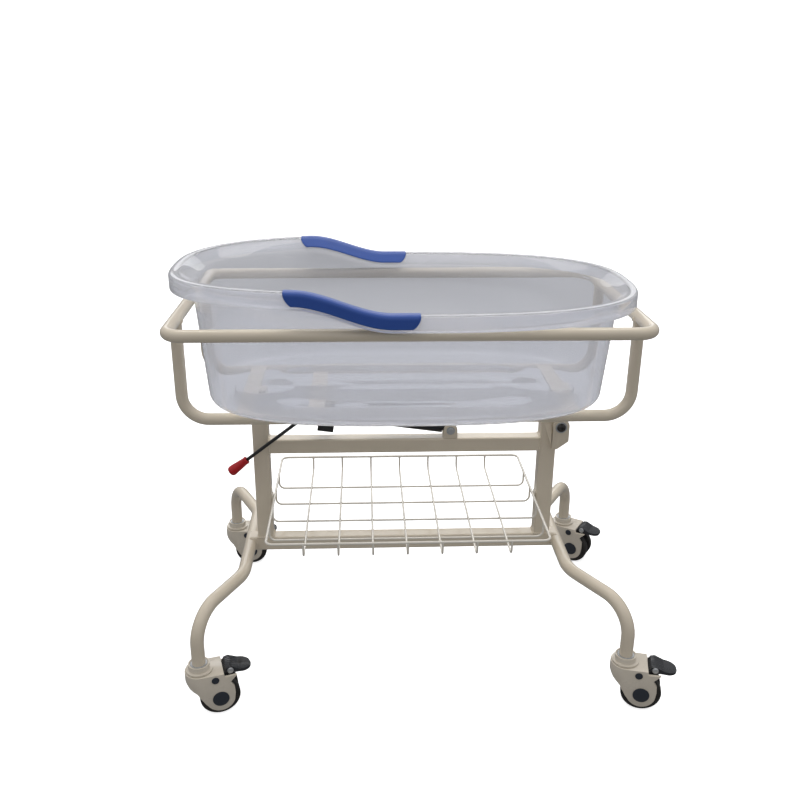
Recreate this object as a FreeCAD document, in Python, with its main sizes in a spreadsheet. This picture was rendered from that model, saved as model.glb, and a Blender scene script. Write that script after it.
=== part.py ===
import FreeCAD, Part
import math
import os
import re
import Sketcher
from FreeCAD import Placement, Rotation, Vector

# Hospital bassinet: a castor base on a bent tube frame, a tilting cradle with a
# gas spring, a lift-out moulded tub and a wire basket.  Millimetres, floor at Z = 0,
# +X to the foot end, +Y to the back, +Z up.  The frame is laid out about the centre
# of the cradle ring and moved by frame_x and frame_y to the centre of its own bounds.

os.makedirs("parts", exist_ok=True)
doc = FreeCAD.newDocument("hospital_bassinet")

# ---------------------------------------------------------------- driving sizes
SIZES = (
    # centre of the bounds, measured from the centre of the cradle ring
    ("frame_x", 33.37),
    ("frame_y", -6.8),
    # cradle ring and its two hangers
    ("cradle_tube", 22),
    ("cradle_bore", 19),
    ("ring_length", 820),
    ("ring_width", 470),
    ("ring_height", 723),
    ("ring_bend", 30),
    ("hanger_spread", 270),
    ("hanger_height", 536),
    ("hanger_bend", 47),
    ("strip_width", 30),
    ("strip_thick", 4),
    ("strip_head", -300),
    ("strip_mid", -170),
    ("strip_foot", 300),
    # frame of square tube between two bent leg tubes
    ("beam_size", 30),
    ("beam_wall", 2),
    ("lower_beam_base", 190),
    ("upper_beam_base", 410.5),
    ("post_inner", 273),
    ("head_post_outer", 305),
    ("foot_post_outer", 306),
    ("head_post_top", 486),
    ("foot_post_top", 478),
    ("leg_tube", 25),
    ("leg_bore", 22),
    ("leg_height", 205),
    ("leg_spread", 642),
    ("leg_knee", 128),
    ("leg_bend", 90),
    ("leg_drop_bend", 62),
    ("leg_end", 101.5),
    # castor stems
    ("stem_head", -392),
    ("stem_foot", 408),
    ("stem_spread", 542),
    ("stem_size", 12),
    # tilt pivot at the foot post
    ("pivot_x", 312),
    ("pivot_z", 466),
    ("pivot_bolt", 10),
    ("pivot_play", 0.1),
    ("ear_inner", 21),
    ("ear_outer", 25),
    ("bracket_inner", 15.6),
    ("bracket_outer", 20.6),
    # gas spring from the upper beam to the middle strip
    ("lug_x", 91),
    ("lug_z", 457.5),
    ("rod_eye_x", -160),
    ("rod_eye_z", 493),
    ("spring_size", 22),
    ("spring_rod", 10),
    ("spring_pin", 8),
    ("rod_eye_play", 2.7),
    # release lever beside the spring
    ("lever_x", -181),
    ("lever_z", 510),
    ("lever_side", 30),
    ("lever_slope", 37.8),
    ("lever_length", 170),
    ("lever_rod", 7),
    ("lever_grip_size", 21),
    ("lever_grip_length", 39),
    # wire basket
    ("basket_length", 536),
    ("basket_width", 388),
    ("basket_rim_height", 307),
    ("basket_floor_height", 278),
    ("basket_rim_wire", 5),
    ("basket_wire", 4),
    ("cross_wire_step", 65.3),
    ("long_wire_step", 75),
    # tub
    ("tub_x", -4),
    ("tub_length", 860),
    ("tub_wall_x", -1),
    ("tub_wall_length", 789),
    ("tub_width", 532),
    ("tub_power", 2.7),
    ("tub_floor_power", 2.9),
    ("tub_wall", 3),
    ("tub_base", 547.3),
    ("tub_floor_length", 752),
    ("tub_floor_width", 442),
    ("tub_floor_round", 19),
    ("crest_foot", 763),
    ("crest_step", 36),
    ("crest_step_start", -34),
    ("crest_step_end", -194),
    ("crest_dip", 4),
    ("skirt_drop", 28.5),
    ("skirt_round", 6),
    ("crest_inset", 19),
    ("flare_inset", 44),
    ("flare_drop", 25),
    ("platform_length", 660),
    ("platform_width", 278),
    ("platform_rise", 3),
    ("recess_spread", 148),
    ("recess_width", 64),
    ("recess_start", -236),
    ("recess_end", 229),
    ("recess_depth", 1.6),
    ("drain_size", 24),
    ("drain_depth", 1.2),
    ("grip_start", -212),
    ("grip_end", 11),
    ("grip_thick", 1.5),
    # castors
    ("wheel_size", 75),
    ("wheel_trail", 33),
    ("tyre_bead", 56),
    ("tyre_outer", 22.4),
    ("tyre_inner", 8),
    ("axle_size", 8),
    ("housing_outer", 28.5),
    ("housing_inner", 23.2),
    ("pedal_pin_x", 25.3),
    ("pedal_pin_z", 79.7),
    ("pedal_pin", 5),
    ("heading_front_head", 16),
    ("heading_front_foot", -14),
    ("heading_back_head", -1),
    ("heading_back_foot", -33),
)
sheet = doc.addObject("Spreadsheet::Sheet", "dims")
for row, (alias, value) in enumerate(SIZES, start=1):
    sheet.set(f"A{row}", alias)
    sheet.set(f"B{row}", str(value))
    sheet.setAlias(f"B{row}", alias)
doc.recompute()
ALIASES = {alias for alias, value in SIZES}

nodes = {}


def linked(text):
    """An expression in sheet names, with each name led by the sheet."""
    return re.sub(r"[a-z_]+", lambda m: "dims." + m[0] if m[0] in ALIASES else m[0], str(text))


def size(text):
    """The number that an expression in sheet names comes to."""
    return float(sheet.evalExpression(linked(text)))


def bind(item, **properties):
    for name, text in properties.items():
        item.setExpression(name.replace("__", "."), linked(text))


def node(item, label, x="0", y="0"):
    """Moves a finished piece into the common frame and lists it for export."""
    item.Label = label
    item.setExpression("Placement.Base.x", linked(f"({x}) - frame_x"))
    item.setExpression("Placement.Base.y", linked(f"({y}) - frame_y"))
    nodes[label] = item
    return item


# ---------------------------------------------------------------- solids
def block(name, x, y, z):
    """A box between pairs of sheet expressions."""
    box = doc.addObject("Part::Box", name)
    bind(box, Length=f"({x[1]}) - ({x[0]})", Width=f"({y[1]}) - ({y[0]})", Height=f"({z[1]}) - ({z[0]})")
    bind(box, Placement__Base__x=x[0], Placement__Base__y=y[0], Placement__Base__z=z[0])
    return box


def rod(name, radius, length, base, axis=Vector(0, 0, 1)):
    """A cylinder from a base point along an axis."""
    cylinder = doc.addObject("Part::Cylinder", name)
    cylinder.Placement = Placement(Vector(), Rotation(Vector(0, 0, 1), axis))
    bind(cylinder, Radius=radius, Height=length)
    bind(cylinder, Placement__Base__x=base[0], Placement__Base__y=base[1], Placement__Base__z=base[2])
    return cylinder


def cross_rod(name, radius, reach, x, z):
    """A cylinder along Y, as far to the front as to the back."""
    return rod(name, radius, f"2 * ({reach})", (x, f"-({reach})", z), Vector(0, 1, 0))


def joined(name, shapes):
    fuse = doc.addObject("Part::MultiFuse", name)
    fuse.Shapes = shapes
    return fuse


def gathered(name, shapes):
    """Separate solids of one kind kept together in one piece."""
    compound = doc.addObject("Part::Compound", name)
    compound.Links = shapes
    return compound


def less(name, base, *tools):
    for count, tool in enumerate(tools):
        cut = doc.addObject("Part::Cut", name if count == len(tools) - 1 else f"{name}_cut")
        cut.Base = base
        cut.Tool = tool
        base = cut
    return base


# ---------------------------------------------------------------- tubes and wires
def rounded_path(corners, radius, closed=False):
    """A wire of straight runs with an arc at every corner that has a radius."""
    count = len(corners)
    legs = []
    arcs = []
    for i in range(count):
        if not closed and i in (0, count - 1):
            legs.append((corners[i], corners[i]))
            continue
        before = (corners[i - 1] - corners[i]).normalize()
        after = (corners[(i + 1) % count] - corners[i]).normalize()
        half_turn = before.getAngle(after) / 2
        reach = radius[i] / math.tan(half_turn)
        start = corners[i] + before * reach
        end = corners[i] + after * reach
        bisector = (before + after).normalize()
        middle = corners[i] + bisector * (radius[i] / math.sin(half_turn) - radius[i])
        legs.append((start, end))
        arcs.append(Part.Arc(start, middle, end).toShape())
    edges = []
    for i in range(count if closed else count - 1):
        if closed or i > 0:
            edges.append(arcs[i if closed else i - 1])
        start = legs[i][1]
        end = legs[(i + 1) % count][0]
        if start.distanceToPoint(end) > 1e-6:
            edges.append(Part.makeLine(start, end))
    return Part.Wire(Part.__sortEdges__(edges))


def swept(name, wire, radius):
    """A round bar along a wire, its radius from the sheet."""
    path = doc.addObject("Part::Feature", name + "_path")
    path.Shape = wire
    first = wire.OrderedEdges[0]
    start = first.valueAt(first.FirstParameter)
    heading = first.tangentAt(first.FirstParameter)
    circle = doc.addObject("Part::Circle", name + "_section")
    circle.Placement = Placement(start, Rotation(Vector(0, 0, 1), heading))
    bind(circle, Radius=radius)
    sweep = doc.addObject("Part::Sweep", name)
    sweep.Sections = [circle]
    sweep.Spine = (path, [f"Edge{i + 1}" for i in range(len(wire.Edges))])
    sweep.Solid = True
    sweep.Frenet = False
    return sweep


def tube(name, wire, outer, bore):
    """A hollow tube; the solid outer bar comes back too, for coping its neighbours."""
    solid = swept(name + "_outside", wire, outer)
    hollow = swept(name + "_inside", wire, bore)
    return less(name + "_tube", solid, hollow), solid


# ---------------------------------------------------------------- sketched bodies
def new_body(name):
    return doc.addObject("PartDesign::Body", name)


def sketch_on(body, plane, offset="0"):
    sketch = body.newObject("Sketcher::SketchObject", body.Name + "_sketch")
    support = [item for item in body.Origin.OriginFeatures if item.Role == plane][0]
    sketch.AttachmentSupport = (support, "")
    sketch.MapMode = "FlatFace"
    sketch.setExpression("AttachmentOffset.Base.z", linked(offset))
    return sketch


def pin_point(sketch, geometry, end, x, y):
    """Holds one end of a line or arc at a place given by sheet expressions."""
    for kind, text in (("DistanceX", x), ("DistanceY", y)):
        number = sketch.addConstraint(Sketcher.Constraint(kind, -1, 1, geometry, end, size(text)))
        sketch.setExpression(f"Constraints[{number}]", linked(text))


def draw_outline(sketch, corners):
    """A closed outline; a third value is the radius of the arc that leaves the corner,
    positive with its centre on the left of travel and negative on the right."""
    for i, corner in enumerate(corners):
        following = corners[(i + 1) % len(corners)]
        start = Vector(size(corner[0]), size(corner[1]), 0)
        end = Vector(size(following[0]), size(following[1]), 0)
        if len(corner) == 2:
            drawn = sketch.addGeometry(Part.LineSegment(start, end))
            pin_point(sketch, drawn, 1, corner[0], corner[1])
            pin_point(sketch, drawn, 2, following[0], following[1])
            continue
        radius = size(corner[2])
        chord = end - start
        left = Vector(-chord.y, chord.x, 0).normalize()
        rise = math.sqrt(max(radius * radius - chord.Length ** 2 / 4, 0))
        centre = (start + end) * 0.5 + left * math.copysign(rise, radius)
        first, last = (start, end) if radius > 0 else (end, start)
        angles = [math.atan2(p.y - centre.y, p.x - centre.x) for p in (first, last)]
        if angles[1] < angles[0]:
            angles[1] += 2 * math.pi
        circle = Part.Circle(centre, Vector(0, 0, 1), abs(radius))
        drawn = sketch.addGeometry(Part.ArcOfCircle(circle, angles[0], angles[1]))
        ends = (1, 2) if radius > 0 else (2, 1)
        pin_point(sketch, drawn, ends[0], corner[0], corner[1])
        pin_point(sketch, drawn, ends[1], following[0], following[1])


def draw_circle(sketch, x, y, diameter):
    circle = Part.Circle(Vector(size(x), size(y), 0), Vector(0, 0, 1), size(diameter) / 2)
    drawn = sketch.addGeometry(circle)
    pin_point(sketch, drawn, 3, x, y)
    number = sketch.addConstraint(Sketcher.Constraint("Diameter", drawn, size(diameter)))
    sketch.setExpression(f"Constraints[{number}]", linked(diameter))


def pad(body, sketch, length, symmetric=False, reverse=False):
    feature = body.newObject("PartDesign::Pad", body.Name + "_pad")
    feature.Profile = sketch
    feature.SideType = "Symmetric" if symmetric else "One side"
    feature.Reversed = reverse
    bind(feature, Length=length)
    doc.recompute()
    return feature


def pocket(body, sketch, length, symmetric=False, reverse=False):
    before = body.Shape.Volume
    feature = body.newObject("PartDesign::Pocket", body.Name + "_pocket")
    feature.Profile = sketch
    feature.SideType = "Symmetric" if symmetric else "One side"
    feature.Reversed = reverse
    bind(feature, Length=length)
    doc.recompute()
    if not body.Shape.Volume < before - 0.01:
        raise ValueError(f"{body.Name}: a pocket removes nothing")
    return feature


def fillet_circles(body, base, radius, size_text):
    """Rounds the circular edges of one radius."""
    edges = []
    for number, edge in enumerate(base.Shape.Edges, start=1):
        if hasattr(edge.Curve, "Radius") and abs(edge.Curve.Radius - radius) < 1e-3:
            edges.append(f"Edge{number}")
    feature = body.newObject("PartDesign::Fillet", body.Name + "_fillet")
    feature.Base = (base, edges)
    bind(feature, Radius=size_text)
    doc.recompute()
    return feature


def square_tube(name, plane, x, y, length, offset="0"):
    """A square tube of beam_wall thickness: outline limits in the plane, then its length."""
    body = new_body(name)
    sketch = sketch_on(body, plane, offset)
    draw_outline(sketch, [(x[0], y[0]), (x[1], y[0]), (x[1], y[1]), (x[0], y[1])])
    inner_x = (f"{x[0]} + beam_wall", f"{x[1]} - beam_wall")
    inner_y = (f"{y[0]} + beam_wall", f"{y[1]} - beam_wall")
    corners = [(inner_x[0], inner_y[0]), (inner_x[1], inner_y[0]), (inner_x[1], inner_y[1]), (inner_x[0], inner_y[1])]
    draw_outline(sketch, corners)
    pad(body, sketch, length, symmetric=plane == "YZ_Plane")
    return body


# ---------------------------------------------------------------- cradle
# Closed ring of round tube, hollow all the way round.
ring_x = size("ring_length") / 2
ring_y = size("ring_width") / 2
ring_z = size("ring_height")
ring_corners = [Vector(-ring_x, -ring_y, ring_z), Vector(ring_x, -ring_y, ring_z),
                Vector(ring_x, ring_y, ring_z), Vector(-ring_x, ring_y, ring_z)]
ring_wire = rounded_path(ring_corners, [size("ring_bend")] * 4, closed=True)
ring, ring_bar = tube("cradle_ring", ring_wire, "cradle_tube / 2", "cradle_bore / 2")
node(ring, "cradle_ring")

# U-shaped hangers under the ring, coped to its end tubes.
hanger_bars = []
for side, label in ((-1, "hanger_front"), (1, "hanger_back")):
    y = side * size("hanger_spread") / 2
    low = size("hanger_height")
    corners = [Vector(-ring_x, y, ring_z), Vector(-ring_x, y, low), Vector(ring_x, y, low), Vector(ring_x, y, ring_z)]
    wire = rounded_path(corners, [0, size("hanger_bend"), size("hanger_bend"), 0])
    hanger, bar = tube(label, wire, "cradle_tube / 2", "cradle_bore / 2")
    hanger_bars.append(bar)
    node(less(label + "_coped", hanger, ring_bar), label)

# Flat strips from hanger to hanger, flush with the tops of the tubes.
strip_top = "hanger_height + cradle_tube / 2"
strips = []
for name in ("strip_head", "strip_mid", "strip_foot"):
    limits_x = (f"{name} - strip_width / 2", f"{name} + strip_width / 2")
    flat = block(name + "_bar", limits_x, ("-hanger_spread / 2", "hanger_spread / 2"),
                 (f"{strip_top} - strip_thick", strip_top))
    strips.append(less(name + "_coped", flat, *hanger_bars))
node(gathered("strips", strips), "cross_strips")

# Pivot bracket: a channel under the foot strip, one cheek each side of the foot post.
bracket = new_body("pivot_bracket_body")
bracket_top = f"{strip_top} - strip_thick"
profile = sketch_on(bracket, "XZ_Plane")
draw_outline(profile, [("pivot_x - 13", "pivot_z", "13"), ("pivot_x + 13", "pivot_z"),
                       ("pivot_x + 13", bracket_top), ("pivot_x - 22", bracket_top),
                       ("pivot_x - 22", f"{bracket_top} - 22")])
pad(bracket, profile, "2 * bracket_outer", symmetric=True)
profile = sketch_on(bracket, "XZ_Plane")
draw_outline(profile, [("pivot_x - 40", "pivot_z - 20"), ("pivot_x + 40", "pivot_z - 20"),
                       ("pivot_x + 40", f"{bracket_top} - 4"), ("pivot_x - 40", f"{bracket_top} - 4")])
pocket(bracket, profile, "2 * bracket_inner", symmetric=True)
profile = sketch_on(bracket, "XZ_Plane")
draw_circle(profile, "pivot_x", "pivot_z", "pivot_bolt + 6")
pocket(bracket, profile, "3 * bracket_outer", symmetric=True)
node(bracket, "pivot_bracket")

# Bushes in the two cheeks, running on the pivot bolt.
bush_outer = cross_rod("bush_outer", "pivot_bolt / 2 + 3", "bracket_outer", "pivot_x", "pivot_z")
bush_middle = cross_rod("bush_middle", "pivot_bolt + 6", "bracket_inner", "pivot_x", "pivot_z")
bush_bore = cross_rod("bush_bore", "pivot_bolt / 2 + pivot_play / 2", "bracket_outer + 1", "pivot_x", "pivot_z")
node(less("bushes", bush_outer, bush_middle, bush_bore), "pivot_bushes")

# Square foot under the head strip that sits on the buffer of the head post.
rest_limits_x = ("-head_post_outer + 1", "-post_inner - 1")
rest_limits_z = ("head_post_top + 14.3", bracket_top)
rest_outer = block("rest_outer", rest_limits_x, ("-beam_size / 2", "beam_size / 2"), rest_limits_z)
rest_inner = block("rest_inner", ("-head_post_outer + 4", "-post_inner - 4"),
                   ("-beam_size / 2 - 1", "beam_size / 2 + 1"), ("head_post_top + 18.3", f"{bracket_top} - 4"))
node(less("rest", rest_outer, rest_inner), "rest_bracket")

# Spring bracket: two cheeks under the middle strip for the rod eye and the lever.
fork = new_body("spring_bracket_body")
profile = sketch_on(fork, "XZ_Plane")
draw_outline(profile, [("rod_eye_x - 32", "rod_eye_z + 2"), ("rod_eye_x - 10", "rod_eye_z - 12"),
                       ("rod_eye_x + 12", "rod_eye_z - 12"), ("rod_eye_x + 14", bracket_top),
                       ("rod_eye_x - 32", bracket_top)])
pad(fork, profile, "32", symmetric=True)
profile = sketch_on(fork, "XZ_Plane")
draw_outline(profile, [("rod_eye_x - 40", "rod_eye_z - 30"), ("rod_eye_x + 40", "rod_eye_z - 30"),
                       ("rod_eye_x + 40", f"{bracket_top} - 4"), ("rod_eye_x - 40", f"{bracket_top} - 4")])
pocket(fork, profile, "24", symmetric=True)
profile = sketch_on(fork, "XZ_Plane")
draw_circle(profile, "rod_eye_x", "rod_eye_z", "spring_pin")
pocket(fork, profile, "60", symmetric=True)
profile = sketch_on(fork, "XZ_Plane")
draw_circle(profile, "lever_x", "lever_z", "spring_pin")
pocket(fork, profile, "40", symmetric=False)
node(fork, "spring_bracket")

# Pins of the bracket: one through the rod eye, one standing out in front for the lever.
eye_pin = cross_rod("eye_pin", "spring_pin / 2", "18", "rod_eye_x", "rod_eye_z")
lever_pin = rod("lever_pin", "spring_pin / 2", "27", ("lever_x", "-39.3", "lever_z"), Vector(0, 1, 0))
lever_cap = rod("lever_cap", "spring_pin / 2 + 3", "3", ("lever_x", "-39.3", "lever_z"), Vector(0, 1, 0))
node(gathered("bracket_pins", [eye_pin, joined("lever_pivot", [lever_pin, lever_cap])]), "bracket_pins")

# ---------------------------------------------------------------- release lever
# The rod leans down towards the head end; it is drawn along -X and turned about its pin.
lever_hub = cross_rod("lever_hub", "spring_pin / 2 + 4.5", "6", "0", "0")
lever_bar = rod("lever_bar", "lever_rod / 2", "lever_length + 20", ("-7", "0", "0"), Vector(-1, 0, 0))
lever_bore = cross_rod("lever_bore", "spring_pin / 2 + 0.06", "9", "0", "0")
lever = less("lever", joined("lever_solid", [lever_hub, lever_bar]), lever_bore)
grip_cone = doc.addObject("Part::Cone", "lever_grip_cone")
grip_cone.Placement = Placement(Vector(), Rotation(Vector(0, 0, 1), Vector(-1, 0, 0)))
bind(grip_cone, Radius1="lever_rod / 2 + 3.6", Radius2="lever_grip_size / 2", Height="lever_grip_length")
grip_cone.setExpression("Placement.Base.x", linked("-lever_length"))
grip_shoulder = doc.addObject("Part::Cone", "lever_grip_shoulder")
grip_shoulder.Placement = grip_cone.Placement
bind(grip_shoulder, Radius1="lever_grip_size / 2", Radius2="lever_grip_size / 2 - 2", Height="3.6")
grip_shoulder.setExpression("Placement.Base.x", linked("-lever_length - lever_grip_length"))
grip_end = doc.addObject("Part::Cone", "lever_grip_end")
grip_end.Placement = grip_cone.Placement
bind(grip_end, Radius1="lever_grip_size / 2 - 2", Radius2="lever_grip_size / 2 - 5", Height="2")
grip_end.setExpression("Placement.Base.x", linked("-lever_length - lever_grip_length - 3.6"))
grip_bore = rod("lever_grip_bore", "lever_rod / 2", "27", ("-lever_length", "0", "0"), Vector(-1, 0, 0))
lever_grip = less("grip", joined("lever_grip_solid", [grip_cone, grip_shoulder, grip_end]), grip_bore)
for item, label in ((lever, "lever_rod"), (lever_grip, "lever_grip")):
    item.Placement = Placement(Vector(), Rotation(Vector(0, 1, 0), -size("lever_slope")))
    node(item, label, "lever_x", "-lever_side")
    item.setExpression("Placement.Base.z", linked("lever_z"))

# ---------------------------------------------------------------- gas spring
# Drawn along -X from the pin of the lug and turned up to the eye under the strip.
spring_reach = "sqrt((lug_x - rod_eye_x) ^ 2 + (rod_eye_z - lug_z) ^ 2)"
barrel = rod("barrel", "spring_size / 2", "150", ("-16", "0", "0"), Vector(-1, 0, 0))
barrel_bore = rod("barrel_bore", "spring_rod / 2 + 3.5", "138", ("-22", "0", "0"), Vector(-1, 0, 0))
gland_bore = rod("gland_bore", "spring_rod / 2 + 0.05", "20", ("-152", "0", "0"), Vector(-1, 0, 0))
cylinder = less("cylinder", barrel, barrel_bore, gland_bore)
eye_ring = cross_rod("eye_ring", "10", "10.8", "0", "0")
eye_neck = rod("eye_neck", "6", "10", ("-6", "0", "0"), Vector(-1, 0, 0))
eye_bore = cross_rod("eye_bore", "spring_pin / 2 + 0.05", "12", "0", "0")
eye = less("eye", joined("eye_solid", [eye_ring, eye_neck]), eye_bore)
piston_rod = rod("piston_bar", "spring_rod / 2", f"{spring_reach} - 101", ("-80", "0", "0"), Vector(-1, 0, 0))
piston = rod("piston", "spring_rod / 2 + 3.44", "8", ("-80", "0", "0"), Vector(-1, 0, 0))
rod_with_piston = joined("rod_with_piston", [piston_rod, piston])
head_block = block("head_block", (f"-{spring_reach} - 11", f"-{spring_reach} + 21"), ("-11.5", "11.5"), ("-36", "11"))
head_bore = cross_rod("head_bore", "spring_pin / 2 + rod_eye_play", "13", f"-{spring_reach}", "0")
head = less("head", head_block, head_bore)
for item, label in ((cylinder, "gas_cylinder"), (eye, "cylinder_eye"),
                    (rod_with_piston, "piston_rod"), (head, "release_head")):
    item.Placement = Placement(Vector(), Rotation(Vector(0, 1, 0), 1))
    node(item, label, "lug_x", "0")
    item.setExpression("Placement.Base.z", linked("lug_z"))
    item.setExpression("Placement.Rotation.Angle", linked("atan((rod_eye_z - lug_z) / (lug_x - rod_eye_x))"))

# ---------------------------------------------------------------- base frame
# Leg tubes: straight along Y, bent out to the castor stems and down into the castors.
leg_bars = []
for side, stem, label in ((-1, "stem_head", "leg_tube_head"), (1, "stem_foot", "leg_tube_foot")):
    x_mid = side * size("leg_spread") / 2
    x_end = size(stem)
    y_end = size("stem_spread") / 2
    knee = size("leg_knee")
    high = size("leg_height")
    corners = [Vector(x_end, -y_end, size("leg_end")), Vector(x_end, -y_end, high), Vector(x_mid, -knee, high),
               Vector(x_mid, knee, high), Vector(x_end, y_end, high), Vector(x_end, y_end, size("leg_end"))]
    radii = [0, size("leg_drop_bend"), size("leg_bend"), size("leg_bend"), size("leg_drop_bend"), 0]
    leg, bar = tube(label, rounded_path(corners, radii), "leg_tube / 2", "leg_bore / 2")
    leg_bars.append(bar)
    node(leg, label)

# Beams and posts of square tube.
beam_y = ("-beam_size / 2", "beam_size / 2")
lower = square_tube("lower_beam_body", "YZ_Plane", beam_y, ("lower_beam_base", "lower_beam_base + beam_size"), "leg_spread")
node(less("lower_beam_coped", lower, *leg_bars), "lower_beam")
upper = square_tube("upper_beam_body", "YZ_Plane", beam_y, ("upper_beam_base", "upper_beam_base + beam_size"), "2 * post_inner")
node(upper, "upper_beam")
post_base = "lower_beam_base + beam_size"
head_post = square_tube("post_head_body", "XY_Plane", ("-head_post_outer", "-post_inner"), beam_y,
                        f"head_post_top - ({post_base})", post_base)
node(head_post, "post_head")
foot_post = square_tube("post_foot_body", "XY_Plane", ("post_inner", "foot_post_outer"), beam_y,
                        f"foot_post_top - ({post_base})", post_base)
node(foot_post, "post_foot")

# Rubber buffer on the head post, under the rest bracket of the cradle.
buffer_x = "-(head_post_outer + post_inner) / 2"
buffer_pad = rod("buffer_pad", "12", "14", (buffer_x, "0", "head_post_top"))
node(buffer_pad, "rest_buffer", buffer_x, "0")

# Ears that stand off the foot post and carry the pivot bolt outside the cradle bracket.
ears = new_body("ears_body")
profile = sketch_on(ears, "XZ_Plane")
draw_outline(profile, [("foot_post_outer - 10", "pivot_z - 48"), ("foot_post_outer", "pivot_z - 48"),
                       ("pivot_x + 17", "pivot_z - 31"), ("pivot_x + 17", "pivot_z", "17"),
                       ("pivot_x - 17", "pivot_z + 2"), ("foot_post_outer - 10", "pivot_z")])
pad(ears, profile, "2 * ear_outer", symmetric=True)
profile = sketch_on(ears, "XZ_Plane")
draw_outline(profile, [("pivot_x - 60", "pivot_z - 16"), ("pivot_x + 60", "pivot_z - 16"),
                       ("pivot_x + 60", "pivot_z + 60"), ("pivot_x - 60", "pivot_z + 60")])
pocket(ears, profile, "2 * ear_inner", symmetric=True)
profile = sketch_on(ears, "XZ_Plane")
draw_outline(profile, [("pivot_x - 60", "pivot_z - 60"), ("pivot_x + 60", "pivot_z - 60"),
                       ("pivot_x + 60", "pivot_z - 10"), ("pivot_x - 60", "pivot_z - 10")])
pocket(ears, profile, "beam_size", symmetric=True)
profile = sketch_on(ears, "XZ_Plane")
draw_circle(profile, "pivot_x", "pivot_z", "pivot_bolt")
pocket(ears, profile, "3 * ear_outer", symmetric=True)
node(ears, "pivot_ears")

# Three-cornered gussets that close the ears against the faces of the foot post.
gussets = []
for side, name in ((-1, "gusset_front"), (1, "gusset_back")):
    face_y = size("beam_size / 2") + 0.05
    top = Vector(size("post_inner + 6"), side * face_y, size("pivot_z + 4"))
    low = Vector(size("foot_post_outer - 11.2"), side * face_y, size("pivot_z - 42"))
    out = Vector(low.x, side * size("ear_outer"), low.z)
    corner = Vector(low.x, side * face_y, top.z)
    wedge = doc.addObject("Part::Feature", name)
    sides = [(top, low, out), (top, corner, low), (top, out, corner), (low, corner, out)]
    faces = [Part.Face(Part.makePolygon([*points, points[0]])) for points in sides]
    wedge.Shape = Part.makeSolid(Part.makeShell(faces))
    gussets.append(wedge)
node(gathered("gussets", gussets), "post_gussets")

# Pivot bolt with a domed head in front and a nut behind.
shank = rod("pivot_shank", "pivot_bolt / 2", "2 * ear_outer + 8", ("pivot_x", "-ear_outer - 1", "pivot_z"), Vector(0, 1, 0))
dome_washer = rod("pivot_washer", "11", "1", ("pivot_x", "-ear_outer - 1", "pivot_z"), Vector(0, 1, 0))
dome = rod("pivot_dome", "9", "5", ("pivot_x", "-ear_outer - 6", "pivot_z"), Vector(0, 1, 0))
socket = rod("pivot_socket", "3.5", "3", ("pivot_x", "-ear_outer - 6.5", "pivot_z"), Vector(0, 1, 0))
nut = doc.addObject("Part::Prism", "pivot_nut")
nut.Placement = Placement(Vector(), Rotation(Vector(0, 0, 1), Vector(0, 1, 0)))
bind(nut, Circumradius="pivot_bolt * 0.95", Height="7")
bind(nut, Placement__Base__x="pivot_x", Placement__Base__y="ear_outer", Placement__Base__z="pivot_z")
bolt = less("bolt", joined("bolt_solid", [shank, dome_washer, dome, nut]), socket)
node(bolt, "pivot_bolt")

# Lug plates on the upper beam for the eye of the gas spring, and their bolt.
lug = new_body("lug_body")
lug_base = "upper_beam_base + beam_size"
profile = sketch_on(lug, "XZ_Plane")
draw_outline(profile, [("lug_x - 14", lug_base), ("lug_x + 14", lug_base),
                       ("lug_x + 14", "lug_z", "14"), ("lug_x - 14", "lug_z")])
pad(lug, profile, "beam_size", symmetric=True)
profile = sketch_on(lug, "XZ_Plane")
draw_outline(profile, [("lug_x - 30", lug_base), ("lug_x + 30", lug_base),
                       ("lug_x + 30", "lug_z + 30"), ("lug_x - 30", "lug_z + 30")])
pocket(lug, profile, "22.4", symmetric=True)
profile = sketch_on(lug, "XZ_Plane")
draw_circle(profile, "lug_x", "lug_z", "spring_pin")
pocket(lug, profile, "60", symmetric=True)
node(lug, "spring_lugs")
lug_shank = cross_rod("lug_shank", "spring_pin / 2", "beam_size / 2", "lug_x", "lug_z")
lug_head = rod("lug_head", "6.5", "4", ("lug_x", "-beam_size / 2 - 4", "lug_z"), Vector(0, 1, 0))
lug_nut = rod("lug_nut", "6.5", "5", ("lug_x", "beam_size / 2", "lug_z"), Vector(0, 1, 0))
node(joined("lug_bolt", [lug_shank, lug_head, lug_nut]), "spring_lug_bolt")

# Plugs in the ends of the leg tubes and the castor stems pressed into them.
stems = []
sockets = []
for x in ("stem_head", "stem_foot"):
    for side in ("-", ""):
        y = f"{side}stem_spread / 2"
        stems.append(rod("stem", "stem_size / 2", "74", (x, y, "66")))
        plug = rod("plug", "leg_bore / 2", "36", (x, y, "104"))
        plug_bore = rod("plug_bore", "stem_size / 2", "38", (x, y, "103"))
        sockets.append(less("socket", plug, plug_bore))
node(gathered("stem_bars", stems), "caster_stems")
node(gathered("stem_plugs", sockets), "stem_sockets")

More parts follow.
